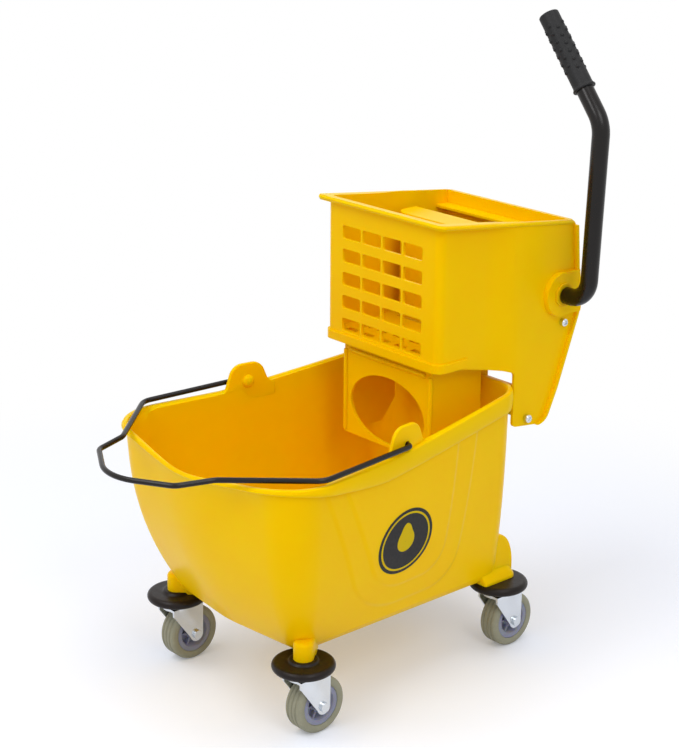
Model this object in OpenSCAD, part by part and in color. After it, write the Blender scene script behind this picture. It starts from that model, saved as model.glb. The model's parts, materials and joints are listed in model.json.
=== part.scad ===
// Wheeled mop bucket with a lift-off side press wringer.
// The lever turns a cross shaft with two cranks, whose pins run in curved slots behind the press plate.

/* [Bucket] */
// Length over the rim, from the pouring lip to the wringer end
bucket_len = 460.4; // [440:0.2:480]
// Width over the rim at the bail ears
rim_mid_w = 336.5; // [326:0.5:346]
// How far each side closes in for every millimetre towards the wringer end
rim_taper = 0.135; // [0.12:0.005:0.14]
// Height of the rim in the middle of the pouring lip
rim_front_h = 336.5; // [325:0.5:345]
// Height of the rim over the front corners
rim_corner_h = 353; // [350:0.5:356]
// Height of the rim at the wringer end
rim_rear_h = 381; // [372:0.5:390]
// Distance before the wringer end over which the rim rises
rim_rise_run = 270; // [240:5:300]
// How late the rim rises along that distance
rim_rise_power = 1.2; // [1:0.05:1.5]
// Width of the flat rim
rim_w = 8; // [6:0.5:10]
// Depth of the skirt that turns down from the rim
rim_skirt_h = 25; // [16:0.5:30]
// Depth of the skirt at the pouring lip
lip_skirt_h = 7; // [6:0.5:12]
// Distance to each side of the lip's middle at which the skirt has its full depth
skirt_run = 160; // [140:2:165]
// How far the front corners stay behind the lip
lip_bow = 16.6; // [14:0.2:20]
// Corner radius of the rim at the front
rim_front_r = 75; // [70:1:80]
// Corner radius of the rim at the wringer end
rim_rear_r = 38; // [34:1:44]
// Corner radius of the wall under the front corners of the rim
wall_front_r = 67; // [60:1:72]
// Depth over which the wall flares out to the pouring lip
lip_flare_h = 20; // [12:1:24]
// Radius of the bowed pouring lip
lip_r = 376; // [350:2:400]
// Thickness of the bucket's wall
bucket_wall = 3.5; // [3:0.1:5]
// Height of the bucket's underside
bucket_floor_h = 102; // [102:0.5:104]
// How far each side of the underside stays inside the rim's half width at the ears, at the front
foot_front_in = 46.25; // [44:0.25:50]
// How far each side of the underside stays inside it at the wringer end
foot_rear_in = 49.25; // [47:0.25:52]
// Front corners of the underside, measured from the ears
foot_front_y = 138; // [134:0.5:140]
// Wringer end of the underside, measured from the ears
foot_rear_y = 221; // [217:0.5:222]
// Bow of the underside's front edge
foot_bow = 12; // [8:1:16]
// Corner radius of the underside
foot_r = 25; // [22:1:28]
// Rounding between the underside and the walls
foot_fillet = 12; // [9:1:14]
// How strongly the walls swell above the underside: one is a straight slope
wall_swell = 2.4; // [1.6:0.1:2.6]

/* [Bail] */
// Diameter of the bail wire
bail_d = 7; // [6:0.1:8]
// Height of the bail's pivot holes over the rim beside them
ear_hole_over = 7.19; // [6:0.01:10]
// Clearance round the wire in the ear
bail_clear = 0.3; // [0.2:0.05:0.5]
// Width of an ear
ear_w = 46; // [40:1:54]
// Thickness of an ear
ear_t = 12; // [10:0.5:14]
// Height of an ear above its hole
ear_rise = 22; // [18:0.5:26]
// Height of the bail's wire over the pouring lip
bail_lip_gap = 22.3; // [20:0.1:24]
// Bend of the bail beside an ear
bail_hook_r = 7; // [6:0.5:9]

/* [Casters] */
// Diameter of a wheel
wheel_d = 76.2; // [70:0.2:78]
// Width of a wheel
wheel_w = 28; // [24:0.5:30]
// Distance of the axle behind the swivel
caster_trail = 18; // [14:0.5:20]
// How far a front swivel stays inside the rim's half width at the ears
caster_front_in = 35.25; // [32:0.25:38]
// Front swivels, measured from the ears
caster_front_y = 142; // [140:0.5:146]
// How far a rear swivel stays inside it
caster_rear_in = 50.25; // [48:0.25:51]
// Rear swivels, measured from the ears
caster_rear_y = 218.5; // [217:0.5:221]
// Diameter of a bumper disc
bumper_d = 81; // [74:0.5:86]
// Thickness of a bumper disc
bumper_t = 11.6; // [9:0.1:13]
// Height of a bumper's top face
bumper_top_h = 101.6; // [100:0.1:103]
// Diameter of a front foot's post
post_d = 25; // [22:0.5:28]
// Height of a front foot
post_h = 27; // [22:0.5:32]
// Height of a rear foot's fin
fin_h = 63; // [54:1:68]
// Reach of a rear foot behind its swivel
fin_reach = 23; // [20:0.5:25]
// Diameter of a caster stem
stem_d = 11; // [10:0.1:12]
// Diameter of an axle bolt
axle_d = 8; // [7:0.1:9]
// Thickness of the fork's steel
fork_t = 3.2; // [2.5:0.1:3.5]
// Running gap beside the wheel and over the bearing
running_gap = 1.2; // [1:0.1:1.5]

/* [Wringer] */
// Width over the wringer's rim
basket_w = 237; // [232:0.5:242]
// Length over the wringer's rim
basket_len = 247.65; // [244:0.05:252]
// Depth of the basket below the front of its rim
basket_h = 190.5; // [186:0.5:194]
// Reach of the wringer's rim over the bucket, from the bucket's rear rim
basket_over = 138.2; // [132:0.2:142]
// Height of the rim's front edge over the bucket's rear rim
basket_rise = 236; // [233:0.5:238]
// Fall of the rim towards the rear, in degrees
basket_fall = 6.7; // [5:0.1:7.5]
// Thickness of the wringer's walls
basket_wall = 4; // [3:0.1:4.5]
// Overhang of the rim flange
flange_w = 8.5; // [6:0.5:10]
// Height of the rim flange
flange_h = 7; // [6:0.5:9]
// Corner radius of the front wall
basket_r = 12; // [10:0.5:14]
// Half width over the cheeks
cheek_x = 120; // [119:0.5:123]
// Columns of slots in the front wall
grille_cols = 4; // [3:1:4]
// Rows of slots in the front wall
grille_rows = 5; // [4:1:5]
// Width of a slot
slot_w = 36; // [28:0.5:37]
// Height of a slot
slot_h = 18.5; // [15:0.5:22]
// Spacing of the columns
slot_dx = 39.5; // [37:0.5:42]
// Spacing of the rows
slot_dz = 32; // [27:0.5:33]
// Diameter of the lever boss
boss_d = 60; // [54:1:64]
// Half width of the skirt inside the bucket
skirt_x = 86; // [80:0.5:90]
// Depth of the skirt below the bucket's rear rim
skirt_drop = 96; // [86:1:102]
// Gap between the wringer's hook and the bucket's rim
seat_gap = 0.2; // [0.1:0.05:0.3]
// Gap between the bucket's rear rim and what hangs behind it
back_gap = 3; // [2:0.5:4]

/* [Press] */
// Lever shaft behind the bucket's rear rim
shaft_y = 82.8; // [80:0.2:84]
// Lever shaft over the bucket's rear rim
shaft_z = 110; // [107:0.5:113]
// Length of a crank arm
crank_len = 76; // [72:0.5:77]
// How far a crank hangs to the rear at rest, in degrees
crank_back = 8; // [4:0.5:9]
// How far the lever turns, in degrees
lever_turn = 80; // [70:1:80]
// Diameter of a drive pin
pin_d = 10; // [8:0.2:11]
// Running clearance of a drive pin in its slot
slot_clear = 0.3; // [0.2:0.05:0.5]
// Press face at rest, measured from the bucket's rear rim
plate_y = -12.2; // [-14:0.2:-10]
// Height of the press plate
plate_h = 147; // [135:1:150]
// Depth of the press plate's side flanges
plate_depth = 40; // [32:1:44]
// Clearance between the plate and its slideway
plate_clear = 0.3; // [0.2:0.05:0.5]
// Wire of a return spring
spring_wire = 3; // [2.4:0.1:3.2]
// Pitch of a return spring's curls
spring_pitch = 3.7; // [3.5:0.05:3.9]

/* [Lever] */
// Height of the whole product
total_h = 863.6; // [840:0.2:880]
// Diameter of the lever tube
tube_d = 20; // [18:0.2:21]
// Distance of the upright from the middle
lever_x = 171; // [166:0.5:173]
// Lean of the upright to the side, in degrees
lever_lean = 2; // [1:0.1:2.4]
// Lever bend at the shaft
lever_r = 30; // [26:0.5:32]
// Drop of the upper bend below the top of the product
lever_bend_drop = 135.6; // [124:0.2:160]
// Turn of the upper bend, in degrees
lever_bend_turn = 40; // [30:0.5:45]
// Diameter of the grip
grip_d = 27; // [25:0.5:30]
// Length of the grip
grip_len = 112; // [100:1:116]

/* [Hidden] */
$fn = 48;
fit = 0.05;
touch = 0.01;
yellow = "#ecbd0c";
black = "#1b1b1c";
zinc = "#b9bec4";
rubber = "#8f8f80";
hub_grey = "#8d92a3";
nylon = "#e2b50c";

CORNERS = ["front_left", "front_right", "rear_left", "rear_right"];
CASTER_PIECES = ["bumper", "stem", "fork", "axle", "hub", "tyre"];
SIDES = ["left", "right"];
SIDE_PIECES = ["lever_bushing", "crank_arm", "drive_pin", "return_spring", "cheek_screw"];

function mix(a, b, t) = a + (b - a) * t;
function unit(v) = v / norm(v);
function smooth(t) = let (c = min(1, max(0, t))) c * c * (3 - 2 * c);
function flat(list) = [for (p = list) [p[0], p[1]]];
function reversed(list) = [for (i = [len(list) - 1 : -1 : 0]) list[i]];

// Corner i of a counter-clockwise polygon as an arc: centre, first angle and turn
function corner_arc(pts, radii, i) =
    let (n = len(pts))
    let (a = unit(pts[i] - pts[(i + n - 1) % n]))
    let (b = unit(pts[(i + 1) % n] - pts[i]))
    let (turn = atan2(a.x * b.y - a.y * b.x, a * b))
    let (start = pts[i] - a * radii[i] * tan(abs(turn) / 2))
    let (side = sign(turn))
    [start - side * radii[i] * [a.y, -a.x], atan2(-a.x, a.y) + (side < 0 ? 180 : 0), turn, side];

// Point on an arc with its outward normal
function arc_point(arc, r, f) =
    let (w = arc[1] + f * arc[2])
    [arc[0].x + r * cos(w), arc[0].y + r * sin(w), arc[3] * cos(w), arc[3] * sin(w)];

// A polygon with rounded corners: points with their outward normals, with some points along each side
function rounded(pts, radii, arc_steps, side_steps) =
    let (n = len(pts))
    let (arcs = [for (i = [0 : n - 1]) corner_arc(pts, radii, i)])
    [
        for (i = [0 : n - 1])
            let (last = arc_point(arcs[i], radii[i], 1))
            let (next = arc_point(arcs[(i + 1) % n], radii[(i + 1) % n], 0))
            each concat(
                [for (k = [0 : arc_steps]) arc_point(arcs[i], radii[i], k / arc_steps)],
                side_steps < 2 ? [] : [for (k = [1 : side_steps - 1]) mix(last, next, k / side_steps)]
            )
    ];

// Layout of the whole product: the bucket's ears stand over the line y = 0 before it is centred
rear_y = bucket_len / 2;
lip_y = -bucket_len / 2;
ear_hole_h = rim_z(0) + ear_hole_over;
foot_front_x = rim_mid_w / 2 - foot_front_in;
foot_rear_x = rim_mid_w / 2 - foot_rear_in;
caster_front_x = rim_mid_w / 2 - caster_front_in;
caster_rear_x = rim_mid_w / 2 - caster_rear_in;
lever_bend_h = total_h - lever_bend_drop;
bail_r = bail_d / 2;
function rim_half(y) = rim_mid_w / 2 - rim_taper * y;

// Bail route in its own plane: half width and distance from the pivots
bail_hook_x = ear_hole_x() + ear_t / 2 + bail_hook_r;
function ear_hole_x() = rim_mid_w / 2 - rim_w - bucket_wall / 2 - 1.5;
bail_tip = 339;
bail_tip_r = 70;
bail_bulge = [79, 294];
bail_waist = [96, 247];
bail_corner = [185, 153];
bail_pts = [
    [ear_hole_x() - ear_t / 2 - 5, 0], [bail_hook_x, 0], bail_corner, bail_waist, bail_bulge, [0, bail_tip],
    [-bail_bulge.x, bail_bulge.y], [-bail_waist.x, bail_waist.y], [-bail_corner.x, bail_corner.y],
    [-bail_hook_x, 0], [-ear_hole_x() + ear_t / 2 + 5, 0]
];
bail_bends = [0, bail_hook_r, 24, 22, 18, bail_tip_r, 18, 22, 24, bail_hook_r, 0];
bail_tip_angle = atan2(bail_tip - bail_bulge.y, bail_bulge.x);
bail_reach = bail_tip - bail_tip_r * (1 / cos(bail_tip_angle) - 1);
bail_tilt = atan((ear_hole_h - rim_front_h - bail_lip_gap) / (bucket_len / 2));

// Wringer outline from the side, from the bucket's rear rim: distance to the rear and height
basket_front = -basket_over;
basket_rear = basket_len - basket_over;
function basket_top(y) = basket_rise - (y - basket_front) * tan(basket_fall);
basket_floor = basket_rise - basket_h;
basket_x = basket_w / 2 - flange_w;
cheek_in = cheek_x - basket_wall;
rear_wall_y = basket_rear - flange_w;
cheek_edge = [120.8, 83];
cheek_pts = [
    [basket_rear, basket_top(basket_rear)], [basket_front + flange_w, basket_top(basket_front + flange_w)],
    [basket_front + flange_w, basket_floor], [-15, 20], [back_gap, 14], [back_gap, -62], [60, -69], [81.8, -22],
    cheek_edge, [115.8, 137]
];
cheek_radii = [10, 0.5, 0.5, 8, 6, 6, 22, 20, 40, 60];

// Everything is moved along the bucket so that the origin lies under the middle of the product
whole_front = -bail_reach * cos(bail_tilt) - bail_r;
whole_rear = rear_y + cheek_edge_reach();
function cheek_edge_reach() = max([for (p = cheek_outline()) p[0]]);
function cheek_outline() = rounded(cheek_pts, cheek_radii, 6, 1);
centre_y = (whole_front + whole_rear) / 2;

module place() {
    translate([0, -centre_y, 0]) children();
}

module at_wringer() {
    place() translate([0, rear_y, rim_rear_h]) children();
}

// Turns a drawing of (rear, up) into a plate across the product from x = from to x = to
module across(from, to) {
    translate([from, 0, 0]) rotate([90, 0, 90]) linear_extrude(to - from) children();
}

module rod_x(from, to, r) {
    translate([from, 0, 0]) rotate([0, 90, 0]) cylinder(r = r, h = to - from);
}

module both_sides() {
    children();
    mirror([1, 0, 0]) children();
}

// A round rod along a flat route, straight between bends, which are a hair thinner and reach into the straights
bend_lap = 0.5;
bend_thin = 0.05;
module bent_rod(pts, bends, r) {
    n = len(pts);
    trims = [for (i = [0 : n - 1]) i == 0 || i == n - 1 ? 0 :
        let (c = corner_arc(pts, bends, i)) bends[i] * tan(abs(c[2]) / 2) - bend_lap];
    for (i = [0 : n - 2]) {
        run = pts[i + 1] - pts[i];
        start = pts[i] + unit(run) * trims[i];
        translate([start.x, start.y, 0])
            rotate([0, 90, atan2(run.y, run.x)])
                cylinder(r = r, h = norm(run) - trims[i] - trims[i + 1]);
    }
    for (i = [1 : n - 2]) {
        c = corner_arc(pts, bends, i);
        translate([c[0].x, c[0].y, 0])
            rotate([0, 0, min(c[1], c[1] + c[2])])
                rotate_extrude(angle = abs(c[2])) translate([bends[i], 0]) circle(r = r - bend_thin);
    }
}

// Bucket shell: rings of points that climb the inside, cross the rim and skirt and come down the outside.
// The outlines of the underside, of the wall's top and of the rim have their points in the same order.
rim_front_y = lip_y + lip_bow;
lip_point_y = lip_y - lip_r * (1 / cos(atan2(lip_bow, rim_half(rim_front_y))) - 1);
rim_pts = [
    [rim_half(rear_y), rear_y], [-rim_half(rear_y), rear_y], [-rim_half(rim_front_y), rim_front_y],
    [0, lip_point_y], [rim_half(rim_front_y), rim_front_y]
];
rim_radii = [rim_rear_r, rim_rear_r, rim_front_r, lip_r, rim_front_r];
foot_pts = [
    [foot_rear_x, foot_rear_y], [-foot_rear_x, foot_rear_y], [-foot_front_x, -foot_front_y],
    [0, -foot_front_y - foot_bow], [foot_front_x, -foot_front_y]
];
foot_radii = [foot_r, foot_r, foot_r, lip_r / 2, foot_r];
neck_pts = [
    [rim_half(rear_y) - rim_w, rear_y - rim_w], [rim_w - rim_half(rear_y), rear_y - rim_w],
    [rim_w - rim_half(rim_front_y), rim_front_y + rim_w], [0, lip_point_y + rim_w],
    [rim_half(rim_front_y) - rim_w, rim_front_y + rim_w]
];
neck_radii = [rim_rear_r - rim_w, rim_rear_r - rim_w, wall_front_r, lip_r, wall_front_r];
rim_line = rounded(rim_pts, rim_radii, 7, 6);
neck_line = rounded(neck_pts, neck_radii, 7, 6);
foot_line = rounded(foot_pts, foot_radii, 7, 6);
line_count = len(rim_line);
function rim_rise(y) = min(1, max(0, (y - rear_y) / rim_rise_run + 1));
function rim_z(y) = mix(rim_corner_h, rim_rear_h, pow(rim_rise(y), rim_rise_power));
// Height and skirt at a point of the rim: both dip from the front corners to the middle of the lip
function from_lip(p, run) = p[1] > 0 ? 1 : smooth(abs(p[0]) / run);
function rim_top(p) = rim_z(p[1]) - (rim_corner_h - rim_front_h) * (1 - from_lip(p, rim_mid_w / 2));
function skirt_at(p) = mix(lip_skirt_h, rim_skirt_h, from_lip(p, skirt_run));

// Depth of the flared lip at a point of the rim
function flare_at(p) = lip_flare_h * smooth((-p[1] - 120) / 60) * (1 - 0.6 * smooth((abs(p[0]) - 120) / 60));

// Point i of the wall: u climbs from the underside to the rim, inset moves it inwards, lift moves it up
function swelled(u) = 1 - pow(1 - u, wall_swell);
function wall_point(i, u, inset, lift) =
    let (b = swelled(u))
    let (top = neck_line[i])
    let (low = foot_line[i])
    let (n = unit(mix([low[2], low[3]], [top[2], top[3]], b)))
    let (p = mix([low[0], low[1]], [top[0], top[1]], b) - inset * n)
    [p.x, p.y, mix(bucket_floor_h, rim_top(rim_line[i]), u) + lift];
// Point i of the rim, inset from its outer edge
function rim_point(i, inset, lift) =
    let (top = rim_line[i])
    [top[0] - inset * top[2], top[1] - inset * top[3], rim_top(top) + lift];
last_point = line_count - 1;
function wall_ring(u, inset, lift) = [for (i = [0 : last_point]) wall_point(i, u, inset, lift)];
function flare_ring(inset, lift) = [for (i = [0 : last_point])
    wall_point(i, 1, inset, lift - flare_at(rim_line[i]))];
function rim_ring(inset, lift) = [for (i = [0 : last_point]) rim_point(i, inset, lift)];
function skirt_ring(inset) = [for (i = [0 : last_point]) rim_point(i, inset, -skirt_at(rim_line[i]))];
function fillet_rings(inset, lift) = [for (a = [0, 30, 60])
    wall_ring(0, inset + foot_fillet * (1 - sin(a)), lift + foot_fillet * (1 - cos(a)))];
function level_point(i, z, inset) =
    wall_point(i, (z - bucket_floor_h) / (rim_top(rim_line[i]) - bucket_floor_h), inset, 0);
function level_ring(z, inset) = [for (i = [0 : last_point]) level_point(i, z, inset)];
wall_steps = [0.08, 0.16, 0.26, 0.38, 0.52, 0.68, 0.84];
rim_round = 2;
skirt_t = 2.5;
bucket_rings = concat(
    fillet_rings(bucket_wall, bucket_wall),
    [for (u = wall_steps) wall_ring(u, bucket_wall, 0)],
    [flare_ring(bucket_wall, -rim_round), rim_ring(rim_w - rim_round, 0), rim_ring(rim_round, 0)],
    [rim_ring(0, -rim_round), skirt_ring(0), skirt_ring(skirt_t)],
    [rim_ring(skirt_t, -bucket_wall), flare_ring(0, -bucket_wall)],
    [for (u = reversed(wall_steps)) wall_ring(u, 0, 0)],
    reversed(fillet_rings(0, 0))
);

module lofted(rings) {
    n = len(rings[0]);
    last = len(rings) - 1;
    faces = concat(
        [[for (i = [n - 1 : -1 : 0]) i]],
        [for (k = [0 : last - 1]) for (i = [0 : n - 1])
            let (j = (i + 1) % n) each [
                [k * n + i, k * n + j, (k + 1) * n + j],
                [k * n + i, (k + 1) * n + j, (k + 1) * n + i]
            ]],
        [[for (i = [0 : n - 1]) last * n + i]]
    );
    polyhedron(points = [for (ring = rings) each ring], faces = faces);
}

function caster_spot(c) = [
    (c % 2 == 0 ? -1 : 1) * (c < 2 ? caster_front_x : caster_rear_x),
    c < 2 ? -caster_front_y : caster_rear_y
];

// Front foot: a round post with a broad web that climbs into the wall of the bucket's corner
collar_h = 3;
web_low = bumper_top_h + collar_h + 0.3;
module front_foot(c) {
    spot = caster_spot(c);
    away = [for (p = foot_line) norm([p[0], p[1]] - spot)];
    near = search(min(away), away)[0];
    path = [for (z = [web_low : 8 : web_low + 32]) level_point(near, z, 0.9 * bucket_wall)];
    inward = unit([path[1].x, path[1].y] - spot);
    web = post_d - 2;
    translate([spot.x, spot.y, 0]) {
        translate([0, 0, bumper_top_h]) cylinder(d = post_d, h = post_h);
        rotate([90, 0, atan2(inward.y, inward.x)]) translate([0, 0, -web / 2]) linear_extrude(web)
            polygon(concat(
                [[0, web_low]], [for (p = path) [([p.x, p.y] - spot) * inward, p.z]],
                [[0, bumper_top_h + post_h - 1]]
            ));
    }
}

// Rear foot: a tall rounded fin behind the corner on a sloping toe round the swivel
fin_w = 27;
toe_h = 17;
toe_len = 62;
toe_out = 11;
module beyond_wall(z) {
    difference() {
        children();
        polygon(flat(level_ring(z, bucket_wall / 2)));
    }
}
module rear_foot() {
    back = caster_rear_y + fin_reach;
    out = caster_rear_x + toe_out;
    rise = fin_h - toe_h;
    intersection() {
        translate([0, 0, bumper_top_h + 1]) linear_extrude(fin_h) beyond_wall(bumper_top_h + 38)
            translate([caster_rear_x - fin_w, back - 50]) square([fin_w, 50]);
        across(0, out) polygon(concat(
            [[back - 60, bumper_top_h], [back - 1, bumper_top_h]],
            [for (a = [0 : 10 : 80])
                [back - 1 - fin_reach * (1 - cos(a)), bumper_top_h + toe_h - 1 + rise * sin(a)]],
            [[back - 60, bumper_top_h + fin_h]]
        ));
    }
    intersection() {
        translate([0, 0, bumper_top_h]) linear_extrude(toe_h) beyond_wall(bumper_top_h + 8)
            polygon(flat(rounded(
                [[out, back], [caster_rear_x - fin_w - 8, back], [caster_rear_x - fin_w - 8, back - toe_len],
                 [out, back - toe_len]], [14, 6, 6, 3], 6, 1
            )));
        translate([0, back + 1, 0]) rotate([90, 0, 0]) linear_extrude(toe_len + 2) polygon([
            [0, bumper_top_h - 1], [out + 1, bumper_top_h - 1], [out + 1, bumper_top_h + 4],
            [caster_rear_x, bumper_top_h + toe_h + 1], [0, bumper_top_h + toe_h + 1]
        ]);
    }
}
stem_depth = 10;
module stem_hole(c) {
    spot = caster_spot(c);
    translate([spot.x, spot.y, bumper_top_h - 1]) cylinder(d = stem_d + 2 * fit, h = stem_depth + 1);
}

module ear() {
    translate([ear_hole_x(), 0, 0]) across(-ear_t / 2, ear_t / 2) difference() {
        union() {
            translate([-ear_w / 2, ear_hole_h - 40]) square([ear_w, 42]);
            translate([-ear_w / 2 + 16, ear_hole_h]) square([ear_w - 32, ear_rise]);
            for (s = [-1, 1]) translate([s * (ear_w / 2 - 16), ear_hole_h + ear_rise - 16]) circle(r = 16);
            translate([-ear_w / 2, ear_hole_h]) square([ear_w, ear_rise - 16]);
        }
        translate([0, ear_hole_h]) circle(r = bail_r + bail_clear);
    }
}

module bucket() {
    color(yellow) place() difference() {
        union() {
            lofted(bucket_rings);
            both_sides() ear();
            for (c = [0, 1]) front_foot(c);
            both_sides() rear_foot();
        }
        for (c = [0 : 3]) stem_hole(c);
    }
}

module bail() {
    color(black) place() translate([0, 0, ear_hole_h]) rotate([bail_tilt, 0, 0])
        mirror([0, 1, 0]) bent_rod(bail_pts, bail_bends, bail_r);
}

// Casters: heights follow the wheel
wheel_r = wheel_d / 2;
crown_h = wheel_d + 2.8;
crown_t = 3.5;
bumper_h = bumper_top_h - bumper_t;
race_top = bumper_h - 0.3;
leg_in = wheel_w / 2 + running_gap;
leg_out = leg_in + fork_t;
stem_r = stem_d / 2;
axle_r = axle_d / 2;
tyre_t = 11;
collar_r = 18;

module at_caster(c) {
    spot = caster_spot(c);
    place() translate([spot.x, spot.y, 0]) children();
}

module at_axle(c) {
    at_caster(c) translate([0, caster_trail, wheel_r]) children();
}

module bumper(c) {
    r = bumper_d / 2;
    round_r = bumper_t / 2;
    collar = [
        [collar_r, bumper_top_h], [collar_r - 1, bumper_top_h + collar_h],
        [post_d / 2 + 0.3, bumper_top_h + collar_h], [post_d / 2 + 0.3, bumper_top_h]
    ];
    color(black) at_caster(c) rotate_extrude() polygon(concat(
        [[stem_r + fit, bumper_h], [r - round_r, bumper_h]],
        [for (a = [-75 : 15 : 75]) [r - round_r + round_r * cos(a), bumper_h + round_r + round_r * sin(a)]],
        [[r - round_r, bumper_top_h]], c < 2 ? collar : [], [[stem_r + fit, bumper_top_h]]
    ));
}

module stem(c) {
    color(zinc) at_caster(c) union() {
        translate([0, 0, crown_h - 0.3]) cylinder(r = stem_r, h = bumper_top_h + stem_depth - 1 - crown_h);
        translate([0, 0, crown_h - 2.3]) cylinder(r = stem_r + 3.5, h = 2);
    }
}

module fork(c) {
    leg_front = -19;
    leg_rear = caster_trail + 11;
    foot = [caster_trail, wheel_r];
    color(zinc) at_caster(c) difference() {
        union() {
            translate([0, 0, crown_h]) cylinder(r = 21, h = crown_t);
            translate([-leg_out, leg_front, crown_h]) cube([2 * leg_out, leg_rear - leg_front, crown_t]);
            translate([0, 0, crown_h + crown_t]) cylinder(r1 = 21, r2 = 15, h = race_top - crown_h - crown_t);
            for (from = [-leg_out, leg_in]) across(from, from + fork_t) union() {
                polygon([
                    [leg_front, crown_h + crown_t], [leg_front, crown_h - 6], [foot.x - 10, foot.y - 3],
                    [foot.x + 10.4, foot.y], [leg_rear, crown_h - 4], [leg_rear, crown_h + crown_t]
                ]);
                translate(foot) circle(r = 10.4);
            }
        }
        translate([0, 0, crown_h - 1]) cylinder(r = stem_r + fit, h = race_top - crown_h + 2);
        translate([0, foot.x, foot.y]) rod_x(-leg_out - 1, leg_out + 1, axle_r + fit);
    }
}

module axle(c) {
    color(zinc) at_axle(c) union() {
        rod_x(-leg_out - 4, leg_out + 4, axle_r);
        rod_x(leg_out, leg_out + 4, 6.5);
        translate([-leg_out - 5, 0, 0]) rotate([0, 90, 0]) cylinder(r = 7.5, h = 5, $fn = 6);
    }
}

module hub(c) {
    rim_r = wheel_r - tyre_t;
    half = wheel_w / 2 - 1.5;
    color(hub_grey) at_axle(c) rotate([0, 90, 0]) union() {
        rotate_extrude() polygon([
            [axle_r + fit, -half - 1.5], [9, -half - 1.5], [10, -half + 1], [10.5, -2.5], [rim_r - 9, -2.5],
            [rim_r - 7.5, -half], [rim_r, -half], [rim_r, half], [rim_r - 7.5, half], [rim_r - 9, 2.5],
            [10.5, 2.5], [10, half - 1], [9, half + 1.5], [axle_r + fit, half + 1.5]
        ]);
        for (a = [0 : 60 : 300]) rotate([0, 0, a]) translate([9, -1.5, -half + 5])
            cube([rim_r - 13, 3, 2 * half - 10]);
    }
}

module tyre(c) {
    in_r = wheel_r - tyre_t + fit;
    half = wheel_w / 2;
    groove = 2.2;
    color(rubber) at_axle(c) rotate([0, 90, 0]) rotate_extrude() difference() {
        union() {
            translate([in_r, -half + 1]) square([tyre_t - 6, wheel_w - 2]);
            translate([in_r, -half + 5]) square([tyre_t - fit, wheel_w - 10]);
            for (s = [-1, 1]) translate([wheel_r - 5, s * (half - 5)]) circle(r = 5);
            translate([wheel_r - 6.5, -half + 5]) square([3, wheel_w - 10]);
        }
        for (k = [-1, 0, 1]) translate([wheel_r - groove, k * wheel_w / 4 - groove / 2])
            square([groove + 1, groove]);
        translate([0, -half]) square([in_r, wheel_w]);
    }
}

// Wringer: plan of the basket's right wall from the front to the rear, moved out by o
swell_from = -50;
swell_to = 12;
function basket_side(o) = concat(
    [for (a = [-90 : 15 : 0])
        [basket_x - basket_r, basket_front + flange_w + basket_r] + (basket_r + o) * [cos(a), sin(a)]],
    [for (k = [0 : 8]) [mix(basket_x, cheek_x, smooth(k / 8)) + o, mix(swell_from, swell_to, k / 8)]],
    [[cheek_x + o, cheek_edge_reach() + 5]]
);
function basket_plan(o) = concat(basket_side(o), [for (p = reversed(basket_side(o))) [-p.x, p.y]]);

module cheek_profile() {
    polygon(flat(cheek_outline()));
}

module walls() {
    low = -75;
    intersection() {
        translate([0, 0, low]) linear_extrude(basket_rise - low) difference() {
            polygon(basket_plan(0));
            translate([0, touch]) polygon(basket_plan(-basket_wall));
        }
        across(-cheek_x - 1, cheek_x + 1) cheek_profile();
    }
}

module grille() {
    first_z = basket_floor + 17;
    corner = 3;
    translate([0, basket_front + flange_w + basket_wall + 2, 0]) rotate([90, 0, 0])
        linear_extrude(basket_wall + 4)
        for (c = [0 : grille_cols - 1]) for (r = [0 : grille_rows - 1])
            translate([(c - (grille_cols - 1) / 2) * slot_dx, first_z + r * slot_dz]) union() {
                square([slot_w - 2 * corner, slot_h], center = true);
                square([slot_w, slot_h - 2 * corner], center = true);
                for (x = [-1, 1]) for (z = [-1, 1])
                    translate([x * (slot_w / 2 - corner), z * (slot_h / 2 - corner)]) circle(r = corner);
            }
}

// Sloping rim flange all round the mouth
rim_corner_r = 6;
module rim_flange() {
    mouth = [for (p = basket_plan(-basket_wall)) [p.x, min(p.y, rear_wall_y)]];
    frame = rounded(
        [[basket_w / 2, basket_rear], [-basket_w / 2, basket_rear],
         [-basket_w / 2, basket_front], [basket_w / 2, basket_front]],
        [8, 8, rim_corner_r, rim_corner_r], 6, 1
    );
    intersection() {
        linear_extrude(basket_rise + 1) difference() {
            polygon(flat(frame));
            polygon(mouth);
        }
        across(-basket_w, basket_w) polygon([
            [basket_front - 5, basket_top(basket_front - 5)],
            [basket_front - 5, basket_top(basket_front - 5) - flange_h],
            [basket_rear + 5, basket_top(basket_rear + 5) - flange_h],
            [basket_rear + 5, basket_top(basket_rear + 5)]
        ]);
    }
}

// Floor with drain slots, and the two slideways that carry the plate behind it
floor_t = 4;
floor_rear = -17;
slideway_x = 94;
module basket_bottom() {
    translate([0, 0, basket_floor]) linear_extrude(floor_t) difference() {
        intersection() {
            polygon(basket_plan(-basket_wall / 2));
            union() {
                translate([-cheek_x, basket_front]) square([2 * cheek_x, floor_rear - basket_front]);
                for (s = [-1, 1]) translate([s > 0 ? slideway_x : -cheek_x, floor_rear - touch])
                    square([cheek_x - slideway_x, rear_wall_y - floor_rear]);
            }
        }
        for (x = [-2.5 : 1 : 2.5]) for (y = [0 : 2])
            translate([x * 32 - 10, basket_front + 26 + y * 27]) square([20, 9]);
    }
}

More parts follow.
